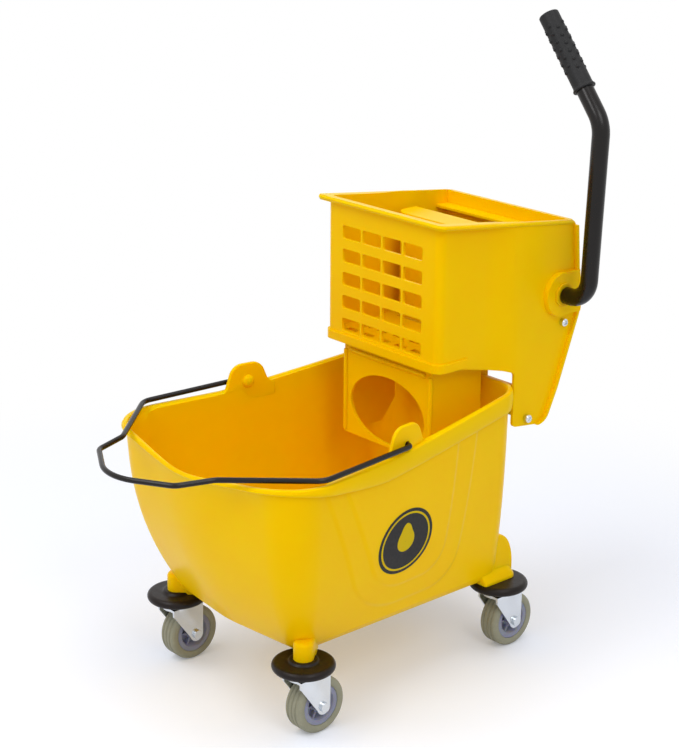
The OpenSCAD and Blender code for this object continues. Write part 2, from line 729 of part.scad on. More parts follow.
// Hooks that carry the wringer on the bucket's rear rim, and the wall that stands behind the bucket
hook_x = 52;
hook_t = 8;
hook_drop = 44;
back_plate_y = 10;
back_plate_h = 38;
module hooks() {
    both_sides() across(hook_x, hook_x + hook_t) polygon([
        [-34, basket_floor + 1], [-34, -30], [-27, -30], [-20, -22], [-20, seat_gap], [back_gap, seat_gap],
        [back_gap, -hook_drop], [back_plate_y + 4, -hook_drop], [back_plate_y + 4, 12], [-8, 24],
        [floor_rear, basket_floor + 1]
    ]);
    across(-cheek_x + 1, cheek_x - 1) translate([back_plate_y, -hook_drop]) square([4, back_plate_h]);
}

// Arched skirt that stands in the bucket below the basket
skirt_front = basket_front + 22;
skirt_rear = -26;
wing_t = 4;
arch_w = 146;
arch_h = 94;
arch_sill = 4.5;
module skirt() {
    translate([0, skirt_front + wing_t, 0]) rotate([90, 0, 0]) linear_extrude(wing_t) difference() {
        translate([-skirt_x, -skirt_drop]) square([2 * skirt_x, skirt_drop + basket_floor + 1]);
        translate([0, -skirt_drop + arch_sill + arch_h / 2])
            polygon([for (a = [0 : 7.5 : 352.5]) [arch_w * cos(a), arch_h * sin(a)] / 2]);
    }
    both_sides() across(skirt_x - wing_t, skirt_x) polygon([
        [skirt_front, basket_floor + 1], [skirt_front, -skirt_drop], [skirt_rear - 24, -skirt_drop],
        [skirt_rear, -skirt_drop + 30], [skirt_rear, basket_floor + 1]
    ]);
}

// Rear wall under the mouth's rear edge, with a stiffening shelf
shelf_h = shaft_z + 76;
rear_wall_low = shaft_z + 15;
module rear_wall() {
    across(-cheek_in - 1, cheek_in + 1) union() {
        polygon([
            [rear_wall_y, rear_wall_low], [rear_wall_y + basket_wall, rear_wall_low],
            [rear_wall_y + basket_wall, basket_top(rear_wall_y + basket_wall) - 1],
            [rear_wall_y, basket_top(rear_wall_y) - 1]
        ]);
        translate([rear_wall_y - 22, shelf_h]) square([23, 3.5]);
    }
}

// Cheek fittings on the right side: boss, screw and rod places, turned-out rear edge
boss_x = cheek_x + 8;
cheek_lip = 6;
cheek_lip_y = 20;
sleeve_r = tube_d / 2 + 3;
screw_y = shaft_y + 8;
screw_z = shaft_z - 41;
screw_r = 3;
rod_y = 27.8;
rod_z = -54;
rod_r = 4;
module cheek_fittings() {
    translate([0, shaft_y, shaft_z]) rod_x(cheek_in, boss_x, boss_d / 2);
    across(cheek_in, boss_x - 1) intersection() {
        cheek_profile();
        translate([shaft_y, shaft_z - boss_d / 2 + 1]) square([60, boss_d - 2]);
    }
    intersection() {
        across(cheek_in, cheek_x + cheek_lip) difference() {
            cheek_profile();
            translate([-4, 0]) cheek_profile();
        }
        translate([0, cheek_lip_y, -skirt_drop])
            cube([basket_w, basket_len, skirt_drop + basket_top(basket_rear) - flange_h + 1]);
    }
}

module cheek_holes() {
    translate([0, shaft_y, shaft_z]) rod_x(cheek_in - 1, boss_x + 1, sleeve_r + fit);
    translate([0, screw_y, screw_z]) rod_x(cheek_in - 1, cheek_x + 1, screw_r + fit);
    translate([0, rod_y, rod_z]) rod_x(cheek_in - 1, cheek_x + 1, rod_r + fit);
}

// Low lip that hangs round the outside of the front wall
lip_hang = 8;
lip_run = 60;
module bottom_lip() {
    translate([0, 0, basket_floor - lip_hang]) linear_extrude(lip_hang + floor_t) intersection() {
        difference() {
            polygon(basket_plan(3));
            polygon(basket_plan(-1));
        }
        translate([-cheek_x, basket_front]) square([2 * cheek_x, lip_run]);
    }
}

module wringer_body() {
    color(yellow) at_wringer() difference() {
        union() {
            walls();
            rim_flange();
            basket_bottom();
            bottom_lip();
            hooks();
            skirt();
            rear_wall();
            both_sides() cheek_fittings();
        }
        grille();
        both_sides() cheek_holes();
    }
}

// Press plate and its drive: the pin's route in the plate, so that the plate moves evenly with the lever
press_travel = crank_len * (sin(lever_turn - crank_back) + sin(crank_back));
function pin_at(a) = [shaft_y - crank_len * sin(a - crank_back), shaft_z - crank_len * cos(a - crank_back)];
function pin_route(a) = pin_at(a) + [press_travel * a / lever_turn, 0];
pin_r = pin_d / 2;
slot_r = pin_r + slot_clear;
slot_steps = 24;
// The steps are short where the slot bends most
slot_route = [for (k = [0 : slot_steps]) pin_route(lever_turn * pow(k / slot_steps, 1.5))];
function route_turn(k) =
    let (t = slot_route[min(k + 1, slot_steps)] - slot_route[max(k - 1, 0)]) atan2(t.y, t.x);
function polar(r, a) = r * [cos(a), sin(a)];
// One wall of the slot, without the points that a sharp bend folds over
function slot_wall(side) = [for (k = [0 : slot_steps])
    let (q = slot_route[k] + polar(slot_r, route_turn(k) + side))
    if (min([for (p = slot_route) norm(q - p)]) > slot_r - 0.01) q];
module drive_slot() {
    polygon(concat(
        slot_wall(-90),
        [for (a = [-75 : 15 : 75]) slot_route[slot_steps] + polar(slot_r, route_turn(slot_steps) + a)],
        reversed(slot_wall(90)),
        [for (a = [105 : 15 : 255]) slot_route[0] + polar(slot_r, route_turn(0) + a)]
    ));
}

bracket_x = 72;
bracket_t = 6;
bracket_rim = 5;
plate_low = basket_floor + floor_t + plate_clear;
plate_half = basket_x - basket_wall - 2.5;
plate_wall = 4;
plate_round = 20;
route_y = [for (p = slot_route) p[0]];
route_z = [for (p = slot_route) p[1]];
module bracket() {
    edge = slot_r + bracket_rim;
    lobe = [[min(route_y) - edge, min(route_z) - edge], [max(route_y) + edge, max(route_z) + edge]];
    beam_low = plate_low + plate_wall / 2;
    beam_h = 32;
    across(bracket_x, bracket_x + bracket_t) difference() {
        union() {
            polygon(flat(rounded(
                [lobe[0], [lobe[1].x, lobe[0].y], lobe[1], [lobe[0].x, lobe[1].y]],
                [edge - 1, edge - 1, edge - 1, edge - 1], 6, 1
            )));
            polygon([
                [plate_y + 1, beam_low], [lobe[0].x + edge, beam_low],
                [lobe[0].x + edge, beam_low + beam_h], [plate_y + 1, beam_low + beam_h + 20]
            ]);
        }
        drive_slot();
    }
}

module plate_plan(half, front, back, r) {
    polygon(flat(rounded(
        [[half, back], [-half, back], [-half, front], [half, front]], [1, 1, r, r], 8, 1
    )));
}

module press_plate() {
    color(yellow) at_wringer() union() {
        difference() {
            translate([0, 0, plate_low]) linear_extrude(plate_h)
                plate_plan(plate_half, plate_y, plate_y + plate_depth, plate_round);
            translate([0, 0, plate_low + plate_wall]) linear_extrude(plate_h - 2 * plate_wall)
                plate_plan(plate_half - plate_wall, plate_y + plate_wall, plate_y + plate_depth + 1,
                    plate_round - plate_wall);
        }
        both_sides() bracket();
        for (x = [-1, 0, 1]) translate([x * 36 - 1.5, plate_y + 2, plate_low + 1])
            cube([3, plate_depth / 2, plate_h - 2]);
    }
}

// Shaft group: the bent tube is lever and shaft in one
tube_r = tube_d / 2;
flange_t = 3.5;
shaft_end = -boss_x - flange_t - 4;
grip_edge = 2.5;
grip_r = grip_d / 2;
grip_tilt = lever_bend_turn - lever_lean;
grip_sink = (grip_r - grip_edge) * sin(grip_tilt) + grip_edge * (1 - cos(grip_tilt));
grip_top_z = total_h - rim_rear_h - grip_sink;
lever_bend = [lever_x + (lever_bend_h - rim_rear_h - shaft_z) * tan(lever_lean), lever_bend_h - rim_rear_h];
grip_top = [lever_bend.x - (grip_top_z - lever_bend.y) * tan(grip_tilt), grip_top_z];
grip_dir = [-sin(grip_tilt), cos(grip_tilt)];
lever_pts = [[shaft_end, shaft_z], [lever_x, shaft_z], lever_bend, grip_top - 6 * grip_dir];

module in_lever_plane() {
    at_wringer() translate([0, shaft_y, 0]) rotate([90, 0, 0]) children();
}

module lever_tube() {
    color(black) in_lever_plane() bent_rod(lever_pts, [0, lever_r, 45, 0], tube_r);
}

module lever_grip() {
    lip = 2;
    color("#2a2a2b") in_lever_plane() translate([grip_top.x, grip_top.y, 0]) rotate([-90, 0, grip_tilt])
        translate([0, 0, -grip_len]) rotate_extrude() polygon(concat(
            [[tube_r + fit, 0], [grip_r + lip - 1, 0], [grip_r + lip, 1], [grip_r + lip, 4], [grip_r, 6]],
            [for (a = [0 : 22.5 : 90])
                [grip_r - grip_edge + grip_edge * cos(a), grip_len - grip_edge + grip_edge * sin(a)]],
            [[0, grip_len], [0, grip_len - 5.5], [tube_r + fit, grip_len - 5.5]]
        ));
}

module shaft_cap() {
    color(black) at_wringer() translate([0, shaft_y, shaft_z]) difference() {
        rod_x(shaft_end - 2, -boss_x - flange_t, tube_r + 4);
        rod_x(shaft_end, -boss_x - flange_t + 1, tube_r + fit);
    }
}

module on_side(side) {
    at_wringer() mirror([side == "left" ? 1 : 0, 0, 0]) children();
}

bushing_in = cheek_in - 3;
module lever_bushing(side) {
    color(nylon) on_side(side) translate([0, shaft_y, shaft_z]) difference() {
        union() {
            rod_x(bushing_in, boss_x, sleeve_r);
            translate([boss_x, 0, 0]) rotate([0, 90, 0]) rotate([0, 0, 22.5])
                cylinder(r = 17, h = flange_t, $fn = 8);
        }
        rod_x(bushing_in - 1, boss_x + flange_t + 1, tube_r + fit);
    }
}

crank_x = bracket_x + bracket_t + 4;
crank_t = 8;
crank_hub = 17;
crank_tip = 10;
peg_r = 3;
module crank_arm(side) {
    tip = pin_at(0);
    reach = unit(tip - [shaft_y, shaft_z]);
    normal = [reach.y, -reach.x];
    centre = [shaft_y, shaft_z];
    color(zinc) on_side(side) difference() {
        union() {
            across(crank_x, crank_x + crank_t) union() {
                translate(centre) circle(r = crank_hub);
                translate(tip) circle(r = crank_tip);
                polygon([
                    centre + crank_hub * normal, centre - crank_hub * normal,
                    tip - crank_tip * normal, tip + crank_tip * normal
                ]);
            }
            translate([0, peg_at.x, peg_at.y]) rod_x(crank_x + crank_t - 1, peg_end, peg_r);
        }
        translate([0, shaft_y, shaft_z]) rod_x(crank_x - 1, crank_x + crank_t + 1, tube_r + fit);
        translate([0, tip.x, tip.y]) rod_x(crank_x - 1, crank_x + crank_t + 1, pin_r + fit);
    }
}

module drive_pin(side) {
    tip = pin_at(0);
    color(zinc) on_side(side) translate([0, tip.x, tip.y]) union() {
        rod_x(bracket_x - 3, crank_x + crank_t, pin_r);
        rod_x(crank_x + crank_t, crank_x + crank_t + 2.5, pin_r + 2.5);
    }
}

// Return spring: one leg stands against the rear wall, the other lies on the crank's peg
spring_r = spring_wire / 2;
spring_gap = 0.3;
coil_r = rear_wall_y - shaft_y - spring_r - spring_gap;
spring_leave = -40;
spring_turns = 3;
spring_out = bushing_in - spring_r - 1;
spring_in = spring_out - spring_pitch * (spring_turns - spring_leave / 360);
peg_end = spring_in + spring_r + 1;
leave_dir = [sin(spring_leave), -cos(spring_leave)];
crank_dir = [sin(crank_back), -cos(crank_back)];
leave_normal = [cos(spring_leave), sin(spring_leave)];
peg_reach = (coil_r + spring_r + peg_r + spring_gap) / (crank_dir * leave_normal);
peg_at = [shaft_y, shaft_z] + peg_reach * crank_dir;
leg_len = peg_reach * (crank_dir * leave_dir) + 9;
curl_rings = 8;
spring_steps = round(curl_rings * (spring_turns - spring_leave / 360));
spring_route = concat(
    [[spring_out, shaft_y + coil_r, shaft_z + 50], [spring_out, shaft_y + coil_r, shaft_z + 50 - spring_wire]],
    [[spring_out, shaft_y + coil_r, shaft_z + 12]],
    [for (k = [0 : spring_steps]) let (a = mix(0, spring_leave - 360 * spring_turns, k / spring_steps))
        [mix(spring_out, spring_in, k / spring_steps), shaft_y + coil_r * cos(a), shaft_z + coil_r * sin(a)]],
    [for (s = [leg_len / 2, leg_len - spring_wire, leg_len])
        [spring_in, shaft_y + coil_r * leave_normal.x + s * leave_dir.x,
            shaft_z + coil_r * leave_normal.y + s * leave_dir.y]]
);
spring_self_gap = min([for (i = [0 : len(spring_route) - 1]) for (j = [i + 5 : 1 : len(spring_route) - 1])
    norm(spring_route[i] - spring_route[j])]) - spring_wire;
echo(spring_self_gap = spring_self_gap);

module swept_wire(route, r, sides) {
    last = len(route) - 1;
    rings = [for (i = [0 : last])
        let (t = unit(route[min(i + 1, last)] - route[max(i - 1, 0)]))
        let (s = unit(cross(t, [1, 0, 0])))
        let (v = cross(s, t))
        [for (k = [0 : sides - 1]) route[i] + r * (cos(360 * k / sides) * s + sin(360 * k / sides) * v)]];
    lofted(rings);
}

module return_spring(side) {
    color(zinc) on_side(side) swept_wire(spring_route, spring_r, 6);
}

module cheek_screw(side) {
    color(zinc) on_side(side) translate([0, screw_y, screw_z]) union() {
        rod_x(cheek_in - 6, cheek_x + 5.5, screw_r);
        rod_x(cheek_x, cheek_x + 5.5, 5);
        translate([cheek_in - 5, 0, 0]) rotate([0, 90, 0]) cylinder(r = 6, h = 5, $fn = 6);
    }
}

module tie_rod() {
    color(zinc) at_wringer() translate([0, rod_y, rod_z]) union() {
        rod_x(-cheek_x - 5.5, cheek_x + 5.5, rod_r);
        both_sides() rod_x(cheek_x, cheek_x + 5.5, 5.5);
        both_sides() rod_x(cheek_in - 4, cheek_in, 7);
    }
}

bucket();
bail();
wringer_body();
press_plate();
lever_tube();
lever_grip();
shaft_cap();
tie_rod();
for (c = [0 : 3]) {
    bumper(c);
    stem(c);
    fork(c);
    axle(c);
    hub(c);
    tyre(c);
}
for (s = SIDES) {
    lever_bushing(s);
    crank_arm(s);
    drive_pin(s);
    return_spring(s);
    cheek_screw(s);
}
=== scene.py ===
import json
import math

import bmesh
import bpy
import numpy as np
from mathutils import Matrix, Vector


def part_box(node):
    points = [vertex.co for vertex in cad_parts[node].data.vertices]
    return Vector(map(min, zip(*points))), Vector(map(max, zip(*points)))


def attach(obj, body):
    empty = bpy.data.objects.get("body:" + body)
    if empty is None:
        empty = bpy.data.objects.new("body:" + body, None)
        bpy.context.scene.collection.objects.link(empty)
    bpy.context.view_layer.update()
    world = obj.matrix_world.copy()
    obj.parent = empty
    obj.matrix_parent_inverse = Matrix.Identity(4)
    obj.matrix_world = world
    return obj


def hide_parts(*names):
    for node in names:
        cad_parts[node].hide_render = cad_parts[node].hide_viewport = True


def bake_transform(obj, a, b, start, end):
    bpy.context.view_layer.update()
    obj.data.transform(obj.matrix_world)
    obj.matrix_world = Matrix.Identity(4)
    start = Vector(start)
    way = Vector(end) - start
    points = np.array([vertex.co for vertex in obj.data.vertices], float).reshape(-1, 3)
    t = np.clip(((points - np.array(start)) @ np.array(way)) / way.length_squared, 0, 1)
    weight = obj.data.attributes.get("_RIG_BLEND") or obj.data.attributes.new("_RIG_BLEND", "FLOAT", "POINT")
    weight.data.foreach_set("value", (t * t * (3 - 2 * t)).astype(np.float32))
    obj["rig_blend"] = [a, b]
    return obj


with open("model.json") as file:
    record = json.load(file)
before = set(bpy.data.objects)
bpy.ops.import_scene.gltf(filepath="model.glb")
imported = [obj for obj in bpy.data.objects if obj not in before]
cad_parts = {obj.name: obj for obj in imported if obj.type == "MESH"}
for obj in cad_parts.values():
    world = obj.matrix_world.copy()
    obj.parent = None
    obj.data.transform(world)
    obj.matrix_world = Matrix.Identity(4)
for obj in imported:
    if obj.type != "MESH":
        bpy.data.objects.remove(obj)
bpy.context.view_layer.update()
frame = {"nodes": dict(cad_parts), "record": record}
nodes = frame["nodes"]
bodyOf = {n: b for b, names in frame["record"]["behaviour"]["bodies"].items() for n in names}
mm = 0.001
casterPlaces = ("front_left", "front_right", "rear_left", "rear_right")
sideNames = ("left", "right")
scene = bpy.context.scene


# Colour and node helpers

def linear(hexText):
    # sRGB hex to linear: the usual curve with its straight foot
    c = np.array([int(hexText[i:i + 2], 16) for i in (1, 3, 5)]) / 255
    c = np.where(c <= 0.04045, c / 12.92, ((c + 0.055) / 1.055) ** 2.4)
    return (*c.tolist(), 1.0)


def perMetre(sizeMm):
    # texture scale that gives a pattern of this size on coordinates in metres
    return 1000 / sizeMm


def addNode(tree, kind, inputs=None, **settings):
    # one node: settings are its own options, inputs are values or other nodes' outputs
    node = tree.nodes.new(kind)
    for key, value in settings.items():
        setattr(node, key, value)
    for key, value in (inputs or {}).items():
        if isinstance(value, bpy.types.NodeSocket):
            tree.links.new(value, node.inputs[key])
        else:
            node.inputs[key].default_value = value
    return node


def newFinish(name, **shader):
    # an empty material with its shader, its tree and Object coordinates
    material = bpy.data.materials.new(name)
    material.use_nodes = True
    tree = material.node_tree
    tree.nodes.clear()
    principled = addNode(tree, "ShaderNodeBsdfPrincipled", {k.replace("_", " "): v for k, v in shader.items()})
    addNode(tree, "ShaderNodeOutputMaterial", {"Surface": principled.outputs[0]})
    place = addNode(tree, "ShaderNodeTexCoord").outputs["Object"]
    return material, tree, principled, place


# Finishes

def mouldedPolypropylene(name, light, deep, rough, glint="#ffffff"):
    # Injection-moulded plastic: satin skin that glows a little where light enters it, faint flow clouds, fine mould
    # grain and a few pale rub marks
    grainMm, cloudMm, flowMm, rubMm = 1.1, 85, 16, 2.2  # the grain is really near 0.3 mm, drawn coarser to show
    material, tree, skin, place = newFinish(
        name, IOR=1.49, Specular_IOR_Level=0.08, Specular_Tint=linear(glint),
        Subsurface_Weight=0.4, Subsurface_Radius=(1.0, 0.5, 0.05), Subsurface_Scale=0.007)
    cloud = addNode(tree, "ShaderNodeTexNoise", {"Vector": place, "Scale": perMetre(cloudMm), "Detail": 2.0})
    tone = addNode(tree, "ShaderNodeMix", {0: cloud.outputs[0], 6: linear(light), 7: linear(deep)}, data_type="RGBA")
    stretch = addNode(tree, "ShaderNodeMapping", {"Vector": place, "Scale": (1.0, 1.0, 0.16)})
    flow = addNode(tree, "ShaderNodeTexNoise",
                   {"Vector": stretch.outputs[0], "Scale": perMetre(flowMm), "Detail": 3.0})
    along = addNode(tree, "ShaderNodeMapping",
                    {"Vector": place, "Scale": (0.09, 0.09, 1.0), "Rotation": (0.3, 0.2, 0.4)})
    rub = addNode(tree, "ShaderNodeTexNoise", {"Vector": along.outputs[0], "Scale": perMetre(rubMm), "Detail": 1.0})
    rubMark = addNode(tree, "ShaderNodeMapRange", {0: rub.outputs[0], 1: 0.66, 2: 0.8, 3: 0.0, 4: 0.04})
    worn = addNode(tree, "ShaderNodeMix",
                   {0: rubMark.outputs[0], 6: tone.outputs[2], 7: linear("#f6d34a")}, data_type="RGBA")
    satin = addNode(tree, "ShaderNodeMapRange",
                    {0: flow.outputs[0], 1: 0.25, 2: 0.75, 3: rough - 0.02, 4: rough + 0.03})
    rubbed = addNode(tree, "ShaderNodeMath", {0: satin.outputs[0], 1: rubMark.outputs[0]}, operation="ADD")
    grain = addNode(tree, "ShaderNodeTexNoise", {"Vector": place, "Scale": perMetre(grainMm), "Detail": 2.0})
    bump = addNode(tree, "ShaderNodeBump", {"Height": grain.outputs[0], "Strength": 0.05, "Distance": 0.0004})
    tree.links.new(worn.outputs[2], skin.inputs["Base Color"])
    tree.links.new(rubbed.outputs[0], skin.inputs["Roughness"])
    tree.links.new(bump.outputs[0], skin.inputs["Normal"])
    return material


def zincPlate(name, light, deep, rough):
    # Bright steel, zinc-plated or drawn to wire: slightly blue, with faint rolling streaks and a thin cloud
    streakMm, cloudMm = 0.9, 26  # rolling lines are finer in truth, drawn at 0.9 mm to show
    material, tree, skin, place = newFinish(name, Metallic=1.0)
    cloud = addNode(tree, "ShaderNodeTexNoise", {"Vector": place, "Scale": perMetre(cloudMm), "Detail": 1.5})
    tone = addNode(tree, "ShaderNodeMix", {0: cloud.outputs[0], 6: linear(light), 7: linear(deep)}, data_type="RGBA")
    stretch = addNode(tree, "ShaderNodeMapping", {"Vector": place, "Scale": (1.0, 1.0, 0.04)})
    streak = addNode(tree, "ShaderNodeTexNoise",
                     {"Vector": stretch.outputs[0], "Scale": perMetre(streakMm), "Detail": 1.0})
    dull = addNode(tree, "ShaderNodeMapRange",
                   {0: streak.outputs[0], 1: 0.3, 2: 0.7, 3: rough - 0.03, 4: rough + 0.05})
    bump = addNode(tree, "ShaderNodeBump", {"Height": streak.outputs[0], "Strength": 0.03, "Distance": 0.0002})
    tree.links.new(tone.outputs[2], skin.inputs["Base Color"])
    tree.links.new(dull.outputs[0], skin.inputs["Roughness"])
    tree.links.new(bump.outputs[0], skin.inputs["Normal"])
    return material


def mouldedRubber(name, light, deep, rough, gritMm, dustHex, dustAmount):
    # Moulded rubber, and the black cap plastic and ink that share its skin: matt to satin with fine grit, and a
    # little pale dust where the noise runs high
    material, tree, skin, place = newFinish(name, IOR=1.5, Specular_IOR_Level=0.22)
    cloudMm, speckMm = 24, 5
    cloud = addNode(tree, "ShaderNodeTexNoise", {"Vector": place, "Scale": perMetre(cloudMm), "Detail": 3.0})
    tone = addNode(tree, "ShaderNodeMix", {0: cloud.outputs[0], 6: linear(light), 7: linear(deep)}, data_type="RGBA")
    speck = addNode(tree, "ShaderNodeTexNoise", {"Vector": place, "Scale": perMetre(speckMm), "Detail": 5.0})
    dust = addNode(tree, "ShaderNodeMapRange", {0: speck.outputs[0], 1: 0.5, 2: 0.75, 3: 0.0, 4: dustAmount})
    dusty = addNode(tree, "ShaderNodeMix",
                    {0: dust.outputs[0], 6: tone.outputs[2], 7: linear(dustHex)}, data_type="RGBA")
    matt = addNode(tree, "ShaderNodeMapRange", {0: speck.outputs[0], 1: 0.3, 2: 0.7, 3: rough - 0.05, 4: rough + 0.1})
    grit = addNode(tree, "ShaderNodeTexNoise", {"Vector": place, "Scale": perMetre(gritMm), "Detail": 2.0})
    bump = addNode(tree, "ShaderNodeBump", {"Height": grit.outputs[0], "Strength": 0.12, "Distance": 0.0003})
    tree.links.new(dusty.outputs[2], skin.inputs["Base Color"])
    tree.links.new(matt.outputs[0], skin.inputs["Roughness"])
    tree.links.new(bump.outputs[0], skin.inputs["Normal"])
    return material


def blackEnamel(name, light, deep, rough):
    # Stoved black enamel on steel: glossy, faint orange peel, a touch browner where it is thin
    peelMm, cloudMm = 3.5, 30
    material, tree, skin, place = newFinish(name, IOR=1.52, Specular_IOR_Level=0.3)
    cloud = addNode(tree, "ShaderNodeTexNoise", {"Vector": place, "Scale": perMetre(cloudMm), "Detail": 3.0})
    tone = addNode(tree, "ShaderNodeMix", {0: cloud.outputs[0], 6: linear(light), 7: linear(deep)}, data_type="RGBA")
    gloss = addNode(tree, "ShaderNodeMapRange",
                    {0: cloud.outputs[0], 1: 0.3, 2: 0.7, 3: rough - 0.04, 4: rough + 0.06})
    peel = addNode(tree, "ShaderNodeTexNoise", {"Vector": place, "Scale": perMetre(peelMm), "Detail": 1.0})
    bump = addNode(tree, "ShaderNodeBump", {"Height": peel.outputs[0], "Strength": 0.05, "Distance": 0.0004})
    tree.links.new(tone.outputs[2], skin.inputs["Base Color"])
    tree.links.new(gloss.outputs[0], skin.inputs["Roughness"])
    tree.links.new(bump.outputs[0], skin.inputs["Normal"])
    return material


yellowPlastic = mouldedPolypropylene("yellow moulded polypropylene", "#f9cb00", "#f7c200", 0.3, "#ffdc78")
yellowNylon = mouldedPolypropylene("yellow moulded nylon", "#f0be08", "#e4ac04", 0.4, "#ffdc78")
hubPlastic = mouldedPolypropylene("blue-grey moulded polypropylene", "#9a9cac", "#8b8da0", 0.4)
capPlastic = mouldedRubber("black moulded cap plastic", "#1d1a19", "#141212", 0.42, 0.9, "#33302e", 0.12)
bumperRubber = mouldedRubber("black bumper rubber", "#1f1511", "#130d0b", 0.34, 1.0, "#3a2c25", 0.12)
tyreRubber = mouldedRubber("grey tread rubber", "#9d9b84", "#8d8b76", 0.5, 0.8, "#b2ab94", 0.3)
gripRubber = mouldedRubber("matt grip rubber", "#232324", "#19191a", 0.5, 0.7, "#3a3a3a", 0.12)
inkFilm = mouldedRubber("black printed film", "#1b1817", "#151312", 0.4, 0.6, "#262322", 0.08)
zincSteel = zincPlate("zinc-plated pressed steel", "#dde1e5", "#cbd0d6", 0.2)
springSteel = zincPlate("drawn spring wire", "#b0b3b7", "#969a9f", 0.26)
tubeEnamel = blackEnamel("gloss black enamel on tube", "#100a08", "#0a0706", 0.24)
wireEnamel = blackEnamel("black enamel on wire", "#140b09", "#0c0807", 0.24)
print("finishes:", len(bpy.data.materials))


# Mesh helpers: every shape is worked out in millimetres and stored in metres at the origin

def gridFaces(rows, cols, wrapRows=False, wrapCols=True):
    # quads between neighbouring points of a grid; a wrapped direction closes on itself
    r = np.arange(rows if wrapRows else rows - 1)[:, None]
    c = np.arange(cols if wrapCols else cols - 1)[None, :]
    nextR, nextC = (r + 1) % rows, (c + 1) % cols
    quads = np.stack([r * cols + c, r * cols + nextC, nextR * cols + nextC, nextR * cols + c], -1)
    return quads.reshape(-1, 4).tolist()


def putPiece(name, points, faces, body, slot, finish, stoodFor=(), creaseDegrees=40):
    # a mesh from points in millimetres, outward faces, smooth shading up to the crease angle
    mesh = bpy.data.meshes.new(name)
    mesh.from_pydata((np.asarray(points, float).reshape(-1, 3) * mm).tolist(), [], faces)
    work = bmesh.new()
    work.from_mesh(mesh)
    bmesh.ops.recalc_face_normals(work, faces=work.faces)
    work.to_mesh(mesh)
    work.free()
    return settle(bpy.data.objects.new(name, mesh), body, finish, stoodFor, creaseDegrees)


def settle(piece, body, finish, stoodFor=(), creaseDegrees=40):
    # links a piece, gives it its finish and lets it ride on its body
    scene.collection.objects.link(piece)
    piece.data.materials.clear()
    piece.data.materials.append(finish)
    piece.data.polygons.foreach_set("use_smooth", np.ones(len(piece.data.polygons), bool))
    piece.data.set_sharp_from_angle(angle=math.radians(creaseDegrees))
    if body:
        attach(piece, body)
    if stoodFor:
        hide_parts(*stoodFor)
    return piece


def joined(parts):
    # several (points, faces) made one
    points, faces, count = [], [], 0
    for p, f in parts:
        p = np.asarray(p, float).reshape(-1, 3)
        points.append(p)
        faces += [[i + count for i in face] for face in f]
        count += len(p)
    return np.vstack(points), faces


def capped(rings):
    # a stack of closed rings with flat ends
    rings = np.asarray(rings, float)
    rows, cols = rings.shape[:2]
    faces = gridFaces(rows, cols)
    faces.append(list(range(cols))[::-1])
    faces.append(list(range((rows - 1) * cols, rows * cols)))
    return rings.reshape(-1, 3), faces


def turned(profile, steps):
    # a closed profile of (radius, height) carried round the Z axis
    profile = np.asarray(profile, float)
    a = np.linspace(0, 2 * np.pi, steps, endpoint=False)
    ring = np.stack([np.cos(a), np.sin(a), np.zeros_like(a)], -1)
    points = profile[:, None, :1] * ring + profile[:, None, 1:] * np.array([0, 0, 1.0])
    return points, gridFaces(len(profile), steps, wrapRows=True)


def unit(v):
    # each vector over its own length
    return v / np.linalg.norm(v, axis=-1, keepdims=True)


def roundedOutline(corners, radii, arcSteps, sideSteps):
    # a closed outline whose corners are arcs; gives points and outward normals in even steps
    corners = np.asarray(corners, float)
    count = len(corners)
    arcs = []
    for i in range(count):
        a, b = unit(corners[i] - corners[i - 1]), unit(corners[(i + 1) % count] - corners[i])
        turn = math.atan2(a[0] * b[1] - a[1] * b[0], float(a @ b))
        side = 1 if turn > 0 else -1
        start = corners[i] - a * radii[i] * math.tan(abs(turn) / 2)
        centre = start - side * radii[i] * np.array([a[1], -a[0]])
        first = math.atan2(-a[0], a[1]) + (math.pi if side < 0 else 0)
        w = first + turn * np.linspace(0, 1, arcSteps[i] + 1)
        way = np.stack([np.cos(w), np.sin(w)], -1)
        arcs.append((centre + radii[i] * way, side * way))
    points, normals = [], []
    for i in range(count):
        here, after = arcs[i], arcs[(i + 1) % count]
        t = np.linspace(0, 1, sideSteps[i] + 1)[1:-1, None]
        points += [here[0], here[0][-1] + t * (after[0][0] - here[0][-1])]
        normals += [here[1], here[1][-1] + t * (after[1][0] - here[1][-1])]
    return np.vstack(points), unit(np.vstack(normals))


def bentRoute(points, bends, arcSteps):
    # an open flat route: straight runs joined by arcs
    points = np.asarray(points, float)
    route = [points[:1]]
    for i in range(1, len(points) - 1):
        a, b = unit(points[i] - points[i - 1]), unit(points[i + 1] - points[i])
        turn = math.atan2(a[0] * b[1] - a[1] * b[0], float(a @ b))
        side = 1 if turn > 0 else -1
        start = points[i] - a * bends[i] * math.tan(abs(turn) / 2)
        centre = start - side * bends[i] * np.array([a[1], -a[0]])
        first = math.atan2(start[1] - centre[1], start[0] - centre[0])
        w = first + turn * np.linspace(0, 1, arcSteps + 1)
        route.append(centre + bends[i] * np.stack([np.cos(w), np.sin(w)], -1))
    route.append(points[-1:])
    return np.vstack(route)


